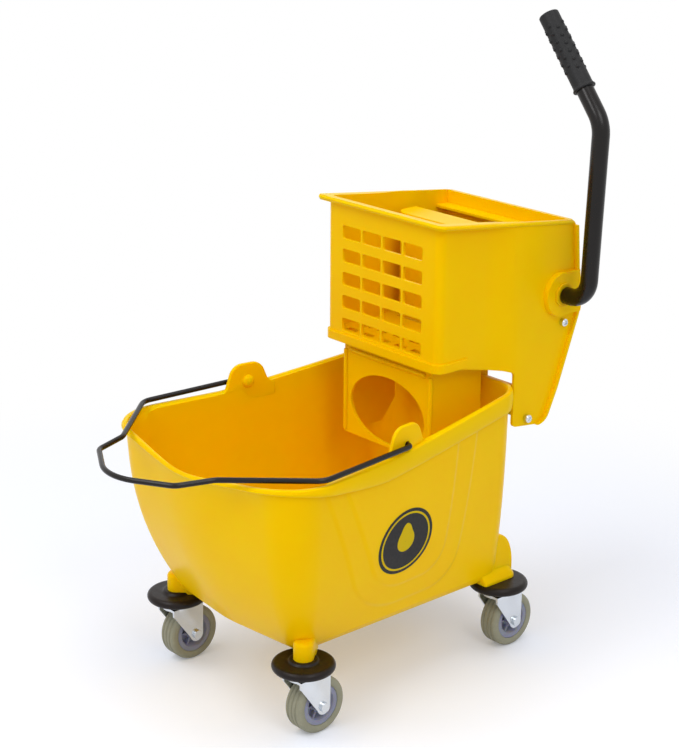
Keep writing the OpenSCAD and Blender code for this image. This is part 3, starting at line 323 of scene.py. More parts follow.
def sweptTube(route, radius, sides, across, ease=0.0):
    # a circle carried along a route; across is a direction that is never along it, ease rounds the ends
    route = np.asarray(route, float)
    tangent = unit(np.gradient(route, axis=0))
    tangent[0], tangent[-1] = unit(route[1] - route[0]), unit(route[-1] - route[-2])
    scale = np.full(len(route), radius)  # one radius, or one for each point
    if ease > 0:
        q = np.linspace(0, np.pi / 2, 5)[:-1]
        head = route[0] - tangent[0] * ease * (np.sin(np.pi / 2 - q))[:, None] + tangent[0] * ease
        tail = (route[-1] + tangent[-1] * ease * np.sin(np.pi / 2 - q)[:, None] - tangent[-1] * ease)[::-1]
        less = ease * (1 - np.sin(q))
        body = route.copy()
        body[0], body[-1] = route[0] + tangent[0] * ease, route[-1] - tangent[-1] * ease
        route = np.vstack([head, body, tail])
        tangent = np.vstack([np.repeat(tangent[:1], len(q), 0), tangent, np.repeat(tangent[-1:], len(q), 0)])
        scale = np.concatenate([scale[0] - less, scale, scale[-1] - less[::-1]])
    side = unit(np.cross(tangent, np.asarray(across, float)))
    up = np.cross(side, tangent)
    a = np.linspace(0, 2 * np.pi, sides, endpoint=False)[None, :, None]
    rings = route[:, None] + scale[:, None, None] * (np.cos(a) * side[:, None] + np.sin(a) * up[:, None])
    return capped(rings)


def easedCopy(node, name, finish, width, segments=2, creaseDegrees=32):
    # a copy of a solid with its loose triangles merged and its edges rounded
    mergeWithin, flatDegrees = 4e-6, 0.5
    mesh = bpy.data.meshes.new(name)
    work = bmesh.new()
    work.from_mesh(nodes[node].data)
    bmesh.ops.remove_doubles(work, verts=work.verts, dist=mergeWithin)
    bmesh.ops.dissolve_limit(work, angle_limit=math.radians(flatDegrees), verts=work.verts, edges=work.edges)
    work.to_mesh(mesh)
    work.free()
    for extra in [a.name for a in mesh.attributes if a.name == "custom_normal"]:
        mesh.attributes.remove(mesh.attributes[extra])
    piece = settle(bpy.data.objects.new(name, mesh), bodyOf[node], finish, (node,), creaseDegrees)
    ease = piece.modifiers.new("easedEdges", "BEVEL")
    ease.width, ease.segments, ease.limit_method = width * mm, segments, "ANGLE"
    ease.angle_limit = math.radians(creaseDegrees)
    ease.harden_normals = True
    return piece


# Bucket shell

bucketForm = {
    "length": 460.4, "earWidth": 336.5, "taper": 0.135,  # plan of the rim
    "lipBow": 16.6, "lipRadius": 376.0, "frontRadius": 75.0, "rearRadius": 38.0,
    "rimFront": 336.5, "rimCorner": 353.0, "rimRear": 381.0, "riseRun": 270.0, "risePower": 1.2,  # heights of the rim
    "rimFlat": 8.0, "lipFlat": 4.2, "lipRun": 135.0, "edgeRound": 2.4,  # section of the rim and its skirt
    "skirt": 25.0, "lipSkirt": 5.0, "skirtRun": 200.0, "skirtWall": 2.5, "belly": 1.2, "hemDrop": 1.0,
    "lipFlare": 24.0, "flareFrom": 120.0, "flareRun": 60.0, "flareStart": 0.84,  # how the wall opens into the lip
    "wall": 3.5, "wallFrontRadius": 50.0, "wallFrontIn": 12.2, "wallRearIn": 4.5, "swell": 2.4,
    "underside": 102.0, "footFrontX": 122.0, "footRearX": 119.0, "footFrontY": 138.0, "footRearY": 221.0,
    "footBow": 12.0, "footRadius": 25.0, "footFillet": 12.0,
}
b = bucketForm
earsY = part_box("bucket")[0].y / mm + b["length"] / 2  # the ears' line in the part's frame


def smooth(t):
    # eases from nought to one: three squares less two cubes
    c = np.clip(t, 0, 1)
    return c * c * (3 - 2 * c)


def halfWidth(y):
    # half the rim's width, which grows evenly from the rear to the lip
    return b["earWidth"] / 2 - b["taper"] * y


rearEnd, lipEnd = b["length"] / 2, -b["length"] / 2
frontCorner = lipEnd + b["lipBow"]
lipPoint = lipEnd - b["lipRadius"] * (1 / math.cos(math.atan2(b["lipBow"], halfWidth(frontCorner))) - 1)
rimCorners = [[halfWidth(rearEnd), rearEnd], [-halfWidth(rearEnd), rearEnd], [-halfWidth(frontCorner), frontCorner],
              [0, lipPoint], [halfWidth(frontCorner), frontCorner]]
neckIns = [b["wallRearIn"], b["wallRearIn"], b["wallFrontIn"], b["rimFlat"], b["wallFrontIn"]]
neckCorners = [[x - i * np.sign(x), y - i * np.sign(y)] for (x, y), i in zip(rimCorners, neckIns)]
footCorners = [[b["footRearX"], b["footRearY"]], [-b["footRearX"], b["footRearY"]],
               [-b["footFrontX"], -b["footFrontY"]], [0, -b["footFrontY"] - b["footBow"]],
               [b["footFrontX"], -b["footFrontY"]]]
arcSteps, sideSteps = [14, 14, 24, 30, 24], [30, 130, 24, 24, 130]
rimRadii = [b["rearRadius"]] * 2 + [b["frontRadius"], b["lipRadius"], b["frontRadius"]]
neckRadii = [b["rearRadius"] - b["wallRearIn"]] * 2 + [b["wallFrontRadius"], b["lipRadius"], b["wallFrontRadius"]]
footRadii = [b["footRadius"]] * 3 + [b["lipRadius"] / 2, b["footRadius"]]
rimLine = roundedOutline(rimCorners, rimRadii, arcSteps, sideSteps)
neckLine = roundedOutline(neckCorners, neckRadii, arcSteps, sideSteps)
footLine = roundedOutline(footCorners, footRadii, arcSteps, sideSteps)
rimX, rimY = rimLine[0].T


def fromLip(run):
    # nought in the middle of the pouring lip, one at this distance to its sides and on the rest of the rim
    return np.where(rimY > 0, 1, smooth(abs(rimX) / run))


rimRise = np.clip((rimY - rearEnd) / b["riseRun"] + 1, 0, 1) ** b["risePower"]
lipDip = (b["rimCorner"] - b["rimFront"]) * (1 - fromLip(b["earWidth"] / 2))
rimHeight = b["rimCorner"] + (b["rimRear"] - b["rimCorner"]) * rimRise - lipDip
skirtDepth = b["lipSkirt"] + (b["skirt"] - b["lipSkirt"]) * smooth((rimY - lipEnd) / b["skirtRun"])
flatWidth = b["lipFlat"] + (b["rimFlat"] - b["lipFlat"]) * fromLip(b["lipRun"])
flareDepth = b["lipFlare"] * smooth((-rimY - b["flareFrom"]) / b["flareRun"])


def wallRing(u, inset=0.0, lift=0.0):
    # the wall swells from the underside's outline to the neck's, by one minus a power of what is left to climb
    share = 1 - (1 - u) ** b["swell"]
    normal = unit(footLine[1] + (neckLine[1] - footLine[1]) * share)
    flat = footLine[0] + (neckLine[0] - footLine[0]) * share - inset * normal
    return np.column_stack([flat, b["underside"] + (rimHeight - b["underside"]) * u + lift])


def rimRing(inset, lift):
    # the rim's outline moved in along its normals and up from the rim's height
    return np.column_stack([rimLine[0] - np.reshape(inset, (-1, 1)) * rimLine[1], rimHeight + lift])


def signedDistance(y, z, outline):
    # distance to a closed outline, positive inside it
    p = np.stack([y, z], -1)[:, None]
    a, c = outline[None], np.roll(outline, -1, 0)[None]
    along = c - a
    t = np.clip(((p - a) * along).sum(-1) / (along ** 2).sum(-1), 0, 1)
    away = np.linalg.norm(p - a - t[..., None] * along, axis=-1).min(1)
    crosses = (a[..., 1] > p[..., 1]) != (c[..., 1] > p[..., 1])
    at = a[..., 0] + (p[..., 1] - a[..., 1]) * along[..., 0] / np.where(along[..., 1] == 0, 1, along[..., 1])
    inside = (crosses & (p[..., 0] < at)).sum(1) % 2 == 1
    return np.where(inside, away, -away)


panelForm = {  # corners as (rear, up) with their radii, each step's height and width, where the sides begin
    "outer": ([[-53, 135], [115, 135], [150, 405], [-176, 405]], [104, 52, 1, 1]),
    "inner": ([[-30, 164], [86, 164], [108, 405], [-145, 405]], [72, 41, 1, 1]),
    "step": 1.9, "slope": 3.6, "sideFrom": 0.9, "sideRun": 0.08,
}
panelLines = [roundedOutline(*panelForm[k], [14, 14, 1, 1], [3] * 4)[0] for k in ("outer", "inner")]


def panelRise(y, z):
    # two U-shaped steps on each side wall
    steps = [smooth(signedDistance(y, z, line) / panelForm["slope"] + 0.5) for line in panelLines]
    return panelForm["step"] * (steps[0] + steps[1])


sideNormal = abs(unit(neckLine[1])[:, 0])  # one on the side walls, less on the corners and ends


def outerRing(ring):
    # the outside of the wall with the raised panels of its sides
    onSide = smooth((sideNormal - panelForm["sideFrom"]) / panelForm["sideRun"])
    rise = panelRise(ring[:, 1], ring[:, 2]) * onSide
    ring = ring.copy()
    ring[:, 0] += np.sign(ring[:, 0]) * rise
    return ring


def bucketShell():
    # one stack of rings: up the inside, over the rim, down and round the skirt, then down the outside to the floor
    wall, edge, skirtWall, start = b["wall"], b["edgeRound"], b["skirtWall"], b["flareStart"]
    curl = np.radians([0, 22.5, 45, 67.5, 90])
    fillet = np.radians([0, 18, 36, 54, 72])
    foot = [(b["footFillet"] * (1 - math.sin(a)), b["footFillet"] * (1 - math.cos(a))) for a in fillet]
    low = wallRing(start)
    neck = wallRing(1.0, 0, -wall) - np.outer(flareDepth, [0, 0, 1])
    lowIn = wallRing(start, wall)
    neckIn = wallRing(1.0, wall, -edge) - np.outer(flareDepth, [0, 0, 1])
    inside = [wallRing(0, wall + i, wall + j) for i, j in foot]
    inside += [wallRing(u, wall) for u in np.linspace(0.05, start, 22)]
    inside += [lowIn + (neckIn - lowIn) * k for k in np.linspace(0.2, 1, 5)]
    inside += [rimRing(flatWidth - edge * (1 - math.cos(a)), -edge * (1 - math.sin(a))) for a in curl[1:]]
    outside = [rimRing(edge * (1 - math.sin(a)), -edge * (1 - math.cos(a))) for a in curl]
    hang = np.column_stack([np.zeros_like(rimX), np.zeros_like(rimX), skirtDepth])
    for k in (0.3, 0.6, 0.85):  # the skirt bows out a little between its edge and its hem
        outside.append(rimRing(-b["belly"] * math.sin(math.pi * k), 0) - hang * k - [0, 0, edge * (1 - k)])
    outside += [rimRing(0, 0) - hang, rimRing(skirtWall * 0.4, -b["hemDrop"]) - hang, rimRing(skirtWall, 0) - hang]
    under = rimRing(skirtWall, -wall)
    outside.append(under)
    cove = np.radians([15, 35, 60, 90])  # inwards first, then down, over a quarter ellipse
    outside += [under + (neck - under) * [math.sin(a), math.sin(a), 1 - math.cos(a)] for a in cove]
    outside += [outerRing(low + (neck - low) * k) for k in np.linspace(0.94, 0.06, 16)]
    outside += [outerRing(wallRing(u)) for u in np.linspace(start, 0.05, 84)]
    outside += [wallRing(0, i, j) for i, j in foot[::-1]]
    points, faces = capped(inside + outside)
    return points + [0, earsY, 0], faces


putPiece("bucketShell", *bucketShell(), "bucket", "yellow_plastic", yellowPlastic, ("bucket",), 50)
print("bucket shell: rings of", len(rimX), "points")


# Ears, feet and the printed discs of the bucket

earForm = {"inner": 156.6, "outer": 162.4, "hole": 363.0, "wire": 8.2, "half": 33.0, "topHalf": 21.5, "top": 388.5,
           "wing": 44.0, "root": 336.0, "rearWing": 356.0, "rearRoot": 359.9, "frontRoot": 354.4, "frontWing": 346.0,
           "edge": 2.2, "dome": 9.0, "domeHeight": 6.6, "domeWall": 1.6, "chamfer": 0.6}


def earPlate(outline, normals, centre):
    # a plate with a blind hole, one stack of rings: from the top of a dome on the inner face out over that face,
    # round the edge over two quarter circles, back over the outer face and down the hole
    e = earForm
    low, high, edge, radius = e["inner"], e["outer"], e["edge"], e["wire"] / 2
    away = unit(outline - centre)
    ring = lambda flat, h: np.column_stack([flat, np.full(len(flat), h)])
    about = lambda r, h: ring(centre + r * away, h)
    q = np.radians([0, 22.5, 45, 67.5, 90])
    rise = np.radians([2, 25, 50, 70, 90])
    dome = [about(e["dome"] * math.sin(a), low - e["domeHeight"] * math.cos(a)) for a in rise]
    inner = [ring(outline - edge * (1 - math.cos(a)) * normals, low + edge * (1 - math.sin(a))) for a in q[::-1]]
    outer = [ring(outline - edge * (1 - math.cos(a)) * normals, high - edge * (1 - math.sin(a))) for a in q]
    bore = low - e["domeHeight"] + e["domeWall"]
    hole = [about(radius + e["chamfer"], high), about(radius, high - e["chamfer"]),
            about(radius, bore), about(0.05, bore)]
    return capped(dome + inner + outer + hole)


def plate(outline, low, high, edge):
    # a flat outline between two heights, its edges rounded over quarter circles
    shape = bpy.data.curves.new("plateShape", "CURVE")
    shape.dimensions, shape.fill_mode = "2D", "BOTH"
    shape.extrude = (high - low) / 2 - edge
    shape.bevel_depth, shape.bevel_resolution, shape.offset = edge, 2, -edge
    count = len(outline)
    spline = shape.splines.new("POLY")
    spline.points.add(count - 1)
    spline.points.foreach_set("co", np.column_stack([outline, np.zeros(count), np.ones(count)]).ravel())
    spline.use_cyclic_u = True
    holder = bpy.data.objects.new("plateShape", shape)
    mesh = bpy.data.meshes.new_from_object(holder)
    points = np.zeros(len(mesh.vertices) * 3)
    mesh.vertices.foreach_get("co", points)
    faces = [list(p.vertices) for p in mesh.polygons]
    bpy.data.objects.remove(holder)
    bpy.data.curves.remove(shape)
    bpy.data.meshes.remove(mesh)
    points = points.reshape(-1, 3)
    points[:, 2] += (low + high) / 2
    return points, faces


def acrossX(points):
    # a drawing of (rear, up) with its thickness becomes (thickness, rear, up)
    return np.asarray(points)[:, [2, 0, 1]]


def bucketEars():
    # a hump with leaning sides whose wings dip into the wall
    e = earForm
    outline, normals = roundedOutline(
        [[-e["wing"], e["root"]], [e["wing"], e["root"]], [e["wing"], e["rearWing"]], [e["half"], e["rearRoot"]],
         [e["topHalf"], e["top"]], [-e["topHalf"], e["top"]],
         [-e["half"], e["frontRoot"]], [-e["wing"], e["frontWing"]]],
        [4, 4, 4, 12, 20, 20, 12, 4], [4, 4, 4, 10, 14, 14, 10, 4], [8, 2, 4, 3, 2, 3, 4, 2])
    flat, faces = earPlate(outline, normals, np.array([0, e["hole"]]))
    ear = acrossX(flat)
    ear[:, 0] -= b["taper"] * ear[:, 1]  # laid along the closing side
    ear += [0, earsY, 0]
    return joined([(ear * [s, 1, 1], faces) for s in (-1, 1)])


putPiece("bucketEars", *bucketEars(), "bucket", "yellow_plastic", yellowPlastic, ("bucket",))


def middle(node):
    # centre of a solid's box in millimetres
    low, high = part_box(node)
    return np.array((low + high) / 2) / mm


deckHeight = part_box("bumper_rear_left")[1].z / mm  # top of the bumper discs
frontFoot = {"radius": 13.0, "height": 28.0, "crown": 6.0, "crownIn": 0.8, "reach": 36.0, "inward": (0.66, 0.75)}


def bucketFrontFeet():
    # a post drawn out towards the bucket, its crown rounded over a quarter ellipse
    f = frontFoot
    parts = []
    for place in casterPlaces[:2]:
        spot = middle("bumper_" + place)
        inward = np.array([-f["inward"][0] * np.sign(spot[0]), f["inward"][1]])
        a = np.linspace(0, 2 * np.pi, 48, endpoint=False)
        way = np.column_stack([np.cos(a), np.sin(a)])
        ahead = (way @ inward > 1e-9)[:, None]
        rings = []
        crown = np.radians([0, 20, 40, 60, 75, 88])
        rises = f["height"] - f["crown"] * (1 - np.sin(crown))
        levels = [(0.0, 0.0), *zip(rises, f["crown"] * f["crownIn"] * (1 - np.cos(crown)))]
        for rise, shrink in levels:
            flat = spot[:2] + way * (f["radius"] - shrink) + np.where(ahead, inward * f["reach"], 0)
            rings.append(np.column_stack([flat, np.full(len(a), deckHeight + rise)]))
        parts.append(capped(rings))
    return joined(parts)


putPiece("bucketFrontFeet", *bucketFrontFeet(), "bucket", "yellow_plastic", yellowPlastic, ("bucket",))

rearFoot = {"fin": 27.0, "finHeight": 65.0, "finLength": 52.0, "finEdge": 1.8, "reach": 27.0,
            "toe": 17.0, "toeLength": 62.0, "toeOut": 11.0, "toeInner": 76.0, "toeSlant": 0.2}


def bucketRearFeet():
    # a rounded fin behind each corner on a sloping toe round the swivel
    f, base = rearFoot, deckHeight
    parts = []
    for place, s in zip(casterPlaces[2:], (-1, 1)):
        spot = middle("bumper_" + place)
        back, out = spot[1] + f["reach"], abs(spot[0]) + f["toeOut"]
        front, tip = back - f["finLength"], back - f["toeLength"]
        a = np.radians(np.arange(0, 91, 6))
        height = base + f["toe"] - 1 + (f["finHeight"] - f["toe"]) * np.sin(a)
        arch = np.column_stack([back - 1 - f["reach"] * (1 - np.cos(a)), height])
        outline = np.vstack([[[front, base + 2], [back - 1, base + 2]], arch, [[front, base + f["finHeight"]]]])
        flat, faces = plate(outline, abs(spot[0]) - f["fin"], abs(spot[0]) + 0.5, f["finEdge"])
        fin = acrossX(flat)
        toe = []
        slope = ((0, 0), (3, 0), (4.5, 0.6), (f["toe"] - 1.5, f["toeOut"] - 1), (f["toe"], f["toeOut"] + 1.5))
        for rise, lean in slope:
            heel, inner = back - lean * f["toeSlant"], f["toeInner"] + lean * f["toeSlant"]
            ring = roundedOutline([[out - lean, heel], [inner, heel], [inner, tip], [out - lean, tip]],
                                  [14, 6, 6, 3], [8, 6, 6, 4], [2] * 4)[0]
            toe.append(np.column_stack([ring, np.full(len(ring), base + rise)]))
        flip = np.array([s, 1, 1])
        toePoints, toeFaces = capped(toe)
        parts += [(fin * flip, faces), (toePoints * flip, toeFaces)]
    return joined(parts)


putPiece("bucketRearFeet", *bucketRearFeet(), "bucket", "yellow_plastic", yellowPlastic, ("bucket",))

discForm = {"y": 6.4, "z": 229.0, "radius": 45.0, "oval": 1.13, "ring": 38.0, "ringWidth": 2.6,
            "middle": 0.3, "lift": 0.25, "thick": 0.6, "markLift": 0.37, "markThick": 0.2,
            "drop": 14, "dropSwell": 3, "dropPoint": 9}
rightSide = np.where(neckLine[1][:, 0] > 0.98)[0]


def onWall(y, z, lift):
    # points of the right wall at (y, z), moved out by the lift: the wall's x is read from its rings
    levels = np.linspace(0.1, b["flareStart"], 40)
    rings = np.stack([outerRing(wallRing(u))[rightSide] for u in levels])
    apart = (rings[None, ..., 1] - y[:, None, None]) ** 2 + (rings[None, ..., 2] - z[:, None, None]) ** 2
    k = np.argmin(apart.reshape(len(y), -1), axis=1)
    near = rings.reshape(-1, 3)[k]
    slopeY = np.gradient(rings[..., 0], axis=1) / np.gradient(rings[..., 1], axis=1)
    slopeZ = np.gradient(rings[..., 0], axis=0) / np.gradient(rings[..., 2], axis=0)
    x = near[:, 0] + slopeY.ravel()[k] * (y - near[:, 1]) + slopeZ.ravel()[k] * (z - near[:, 2])
    return np.column_stack([x + lift, y + earsY, z])


def wallFilm(inner, outer, lift, steps=72, rows=10):
    # a thin film between two outlines given by their radius at each angle, laid on the wall
    a = np.linspace(0, 2 * np.pi, steps, endpoint=False)
    t = np.linspace(0, 1, rows)[:, None]
    radius = inner(a) * (1 - t) + outer(a) * t
    y, z = discForm["y"] + discForm["oval"] * radius * np.cos(a), discForm["z"] + radius * np.sin(a)
    return onWall(y.ravel(), z.ravel(), lift).reshape(rows, steps, 3)


def filmSolid(film, thick):
    # the film and its copy one thickness further in, closed at its edges
    rows, steps = film.shape[:2]
    back = film - [thick, 0, 0]
    points = np.concatenate([film, back[::-1]])
    return points, gridFaces(2 * rows, steps, wrapRows=True)


def evenly(radius):
    # outline of a circle
    return lambda a: np.full_like(a, radius)


def drop(a):
    # outline of a plain water drop: a circle drawn up to a soft point
    up = np.clip(np.cos(a - np.pi / 2), 0, 1)
    return discForm["drop"] + discForm["dropSwell"] * up ** 2 + discForm["dropPoint"] * up ** 12


for s, side in zip((-1, 1), sideNames):
    d = discForm
    flip = np.array([s, 1, 1])
    disc, faces = filmSolid(wallFilm(evenly(d["middle"]), evenly(d["radius"]), d["lift"]), d["thick"])
    putPiece("printedDisc_" + side, disc.reshape(-1, 3) * flip, faces, "bucket", None, inkFilm)
    band = wallFilm(evenly(d["ring"]), evenly(d["ring"] + d["ringWidth"]), d["markLift"], 72, 2)
    ring = filmSolid(band, d["markThick"])
    mark = filmSolid(wallFilm(evenly(d["middle"]), drop, d["markLift"], 72, 6), d["markThick"])
    points, faces = joined([ring, mark])
    putPiece("printedMark_" + side, points * flip, faces, "bucket", "yellow_plastic", yellowPlastic)
print("bucket dressed")


# Bail: one wire bent flat, hooked through both ears

bailForm = {"wire": 3.5, "tip": 339.0, "tipRadius": 70.0, "bulge": (79, 294), "waist": (96, 247),
            "corner": (185, 153), "bends": (24, 22, 18), "hook": 170.0, "hookBend": 7.0, "inside": 152.5,
            "pivot": 363.0, "lipGap": 22.3, "endRound": 0.8}


def bailWire():
    # the half route from ear to tip is mirrored, laid forward from the pivots and tipped down towards the lip
    f = bailForm
    half = [(f["inside"], 0), (f["hook"], 0), f["corner"], f["waist"], f["bulge"]]
    flat = half + [(0, f["tip"])] + [(-x, y) for x, y in half[::-1]]
    bends = [0, f["hookBend"], *f["bends"]]
    route = bentRoute(flat, bends + [f["tipRadius"]] + bends[::-1], 12)
    tilt = math.atan2(f["pivot"] - b["rimFront"] - f["lipGap"], b["length"] / 2)
    turnedDown = np.column_stack([route[:, 0], -route[:, 1] * math.cos(tilt), -route[:, 1] * math.sin(tilt)])
    across = (0, math.sin(tilt), -math.cos(tilt))
    points, faces = sweptTube(turnedDown, f["wire"], 20, across, f["endRound"])
    return points + [0, earsY, f["pivot"]], faces


putPiece("bailWire", *bailWire(), "bail", "bail_wire", wireEnamel, ("bail",))
print("bail bent")


# Casters: bumpers, tyres and hubs turned from profiles, forks and bolts from the solids

casterForm = {"bumper": 40.5, "bumperThick": 11.6, "stemHole": 5.55, "wheel": 38.1, "wide": 28.0,
              "tread": 11.0, "shoulder": 5.0, "groove": 1.6, "grooveHalf": 1.3,
              "dish": 19.5, "boss": 10.0, "bore": 4.1, "spokeHalf": 1.4, "spokeHigh": 8.5,
              "forkEdge": 0.9, "axleEdge": 0.5}


def bumperProfile(withCollar):
    # a disc with a full round edge, a shallow step round its middle and a collar at the front feet
    c = casterForm
    r, t = c["bumper"], c["bumperThick"]
    a = np.radians(np.linspace(-82, 82, 18))
    edge = np.column_stack([r - t / 2 + t / 2 * np.cos(a), t / 2 + t / 2 * np.sin(a)])
    collar = [(14, t + 0.05)]
    if withCollar:
        collar = [(20.5, t), (19.6, t + 0.5), (18.4, t + 2.3), (17.4, t + 3), (12.8, t + 3)]
    base = [(c["stemHole"], 0), (r - t / 2 - 2, 0)]
    step = [(r - t / 2 - 1, t), (24, t - 0.1)]
    return np.vstack([base, edge, step, collar, [(c["stemHole"], t)]])


def tyreProfile():
    # a broad tread with rounded shoulders and three round-bottomed grooves
    c = casterForm
    inner, outer, half = c["wheel"] - c["tread"] + 0.05, c["wheel"], c["wide"] / 2
    q = np.radians(np.linspace(0, 90, 7))
    shoulder = c["shoulder"]
    up = np.column_stack([outer - shoulder + shoulder * np.sin(q), -half + shoulder - shoulder * np.cos(q)])
    grooves = []
    for k in (-1, 0, 1):
        centre, w, g = k * half / 2, c["grooveHalf"], c["groove"]
        grooves += [(outer, centre - w - 0.5), (outer - 0.3, centre - w), (outer - g, centre - w * 0.6),
                    (outer - g - 0.2, centre),
                    (outer - g, centre + w * 0.6), (outer - 0.3, centre + w), (outer, centre + w + 0.5)]
    side = [(inner, -half + 1.2), (inner + 1.5, -half + 0.4), (inner + 3.5, -half)]
    return np.vstack([side, up, grooves, up[::-1] * [1, -1], np.array(side[::-1]) * [1, -1]])


def hubProfile():
    # flat outer ring, deep dish and a boss at the bore, alike on both sides
    c = casterForm
    rim, half, dish, boss = c["wheel"] - c["tread"], c["wide"] / 2 - 1.5, c["dish"], c["boss"]
    face = [(rim - 0.6, half), (dish + 1.6, half), (dish + 0.4, half - 1), (dish - 1.6, 4.2), (dish - 3, 2.8),
            (boss + 1.6, 2.6), (boss + 0.4, 3.6), (boss - 0.4, half), (boss - 1.2, half + 1.4),
            (c["bore"], half + 1.4)]
    return np.vstack([[(rim, half - 0.6)], face, np.array(face[::-1]) * [1, -1], [(rim, -half + 0.6)]])


def toAxle(points, centre):
    # turned about Z, laid over so that the axis runs along X
    p = np.asarray(points).reshape(-1, 3)
    return p[:, [2, 0, 1]] + centre


def hubSpokes():
    # six thin radial ribs in the dish
    c = casterForm
    a = np.radians(np.arange(0, 360, 60))
    near, far, thick, high = c["boss"] - 1, c["dish"], c["spokeHalf"], c["spokeHigh"]
    plan = ((near, -thick), (far, -thick), (far, thick), (near, thick))
    r, t, h = np.array([[r, t, h] for h in (-high, high) for r, t in plan]).T
    box = [[0, 1, 2, 3], [4, 5, 6, 7], [0, 1, 5, 4], [1, 2, 6, 5], [2, 3, 7, 6], [3, 0, 4, 7]]
    return [(np.column_stack([r * np.cos(w) - t * np.sin(w), r * np.sin(w) + t * np.cos(w), h]), box) for w in a]


for place in casterPlaces:
    spot, axle = middle("bumper_" + place), middle("hub_" + place)
    points, faces = turned(bumperProfile("front" in place), 96)
    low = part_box("bumper_" + place)[0].z / mm
    putPiece("bumperDisc_" + place, points.reshape(-1, 3) + [spot[0], spot[1], low], faces,
             "bucket", "bumper_rubber", bumperRubber, ("bumper_" + place,), 60)
    points, faces = turned(tyreProfile(), 112)
    putPiece("tyreTread_" + place, toAxle(points, axle), faces,
             "wheel_" + place, "tyre_rubber", tyreRubber, ("tyre_" + place,), 60)
    points, faces = joined([turned(hubProfile(), 96)] + hubSpokes())
    putPiece("wheelHub_" + place, toAxle(points, axle), faces,
             "wheel_" + place, "hub_plastic", hubPlastic, ("hub_" + place,), 35)
    easedCopy("fork_" + place, "casterFork_" + place, zincSteel, casterForm["forkEdge"], 3)
    easedCopy("axle_" + place, "axleBolt_" + place, zincSteel, casterForm["axleEdge"])
    nodes["stem_" + place].data.materials.clear()
    nodes["stem_" + place].data.materials.append(zincSteel)
print("casters turned")


# Wringer: the moulding and the press plate from the solids with eased edges

edgeForm = {"moulding": 1.4, "press": 1.2, "bushing": 0.8, "arm": 0.8, "pin": 0.5,  # widths of the rounded edges
            "screw": 0.8, "rod": 0.8, "cap": 1.2}
easedCopy("wringer_body", "wringerMoulding", yellowPlastic, edgeForm["moulding"], 3)
easedCopy("press_plate", "pressPlate", yellowPlastic, edgeForm["press"], 3)
for side in sideNames:
    easedCopy("lever_bushing_" + side, "leverBushing_" + side, yellowNylon, edgeForm["bushing"])
    easedCopy("crank_arm_" + side, "crankArm_" + side, zincSteel, edgeForm["arm"])
    easedCopy("drive_pin_" + side, "drivePin_" + side, zincSteel, edgeForm["pin"])
    easedCopy("cheek_screw_" + side, "cheekScrew_" + side, zincSteel, edgeForm["screw"], 3)
easedCopy("tie_rod", "tieRod", zincSteel, edgeForm["rod"], 3)
easedCopy("shaft_cap", "shaftCap", capPlastic, edgeForm["cap"], 3)

beadForm = {"back": 22.0, "half": 83.4, "endIn": 9.0, "top": 405.0, "low": 288.0, "radius": 3.4, "endRound": 2.0}
rimForm = {"half": 118.9, "inset": 1.0, "length": 244.0, "corner": 8.0, "under": 3.1, "fall": 6.7,
           "radius": 2.8, "endRound": 1.5}
buttonForm = {"radius": 5.4, "height": 2.0, "socket": 3.0}


def skirtBeads():
    # a rounded bead under the basket and one down each edge, half sunk in the skirt's front
    f = beadForm
    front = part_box("wringer_body")[0].y / mm + f["back"]
    reach = f["half"] - f["endIn"]
    ends = [((-reach, f["top"]), (reach, f["top"]))]
    ends += [((s * f["half"], f["low"]), (s * f["half"], f["top"])) for s in (-1, 1)]
    routes = [[(x, front, z) for x, z in pair] for pair in ends]
    return joined([sweptTube(route, f["radius"], 14, (0, 1, 0), f["endRound"]) for route in routes])


def rimBead():
    # a round bead on the rim flange's edge, along both sides and the front, falling with the rim towards the rear
    f = rimForm
    low, high = (np.array(v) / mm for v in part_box("wringer_body"))
    front, rear = low[1] + f["inset"], low[1] + f["length"]
    half, corner = f["half"], f["corner"]
    flat = bentRoute([(-half, rear), (-half, front), (half, front), (half, rear)], [0, corner, corner, 0], 10)
    top = high[2] - f["under"] - (flat[:, 1] - low[1]) * math.tan(math.radians(f["fall"]))
    return sweptTube(np.column_stack([flat, top]), f["radius"], 14, (0, 0, 1), f["endRound"])


def buttonHead():
    # a low round head with a six-sided socket: the radius of a hexagon is its flat over the cosine of the angle
    # from the flat's middle
    f = buttonForm
    a = np.radians(np.arange(0, 360, 10))
    hexagon = f["socket"] / np.cos((a + np.pi / 6) % (np.pi / 3) - np.pi / 6)
    r, top = f["radius"], f["height"]
    rows = [(r, 0), (r, 0.9), (r - 0.4, 1.5), (r - 1.2, top), (hexagon, top), (hexagon, 0.2)]
    return capped([np.column_stack([r * np.cos(a), r * np.sin(a), np.full(len(a), h)]) for r, h in rows])


putPiece("skirtBeads", *skirtBeads(), "wringer", "yellow_plastic", yellowPlastic)
putPiece("rimBead", *rimBead(), "wringer", "yellow_plastic", yellowPlastic)
for s, side in zip((-1, 1), sideNames):
    heads = []
    for node in ("cheek_screw_" + side, "tie_rod"):
        spot = middle(node)
        spot[0] = abs(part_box(node)[s > 0].x / mm) - 0.1
        points, faces = buttonHead()
        heads.append((toAxle(points, spot) * [s, 1, 1], faces))
    putPiece("buttonHeads_" + side, *joined(heads), "wringer", "zinc_steel", zincSteel, (), 30)
print("wringer dressed")


# Lever: bent tube, rubber grip with nubs, return springs

leverForm = {"tube": 10.0, "outside": 11.7, "bend": 30.0, "upperBend": 45.0, "lean": 2.0, "turn": 40.0,
             "upright": 171.0, "upperHeight": 728.0, "total": 863.6,
             "grip": 13.5, "gripLength": 112.0, "gripEdge": 2.5, "lip": 2.0, "bore": 5.5,
             "capIn": 2.0, "gripIn": 6.0, "swell": (0.4, 0.9, 1.8), "endRound": 0.8}
shaft = middle("shaft_cap")[1:]  # rear and up of the lever's shaft


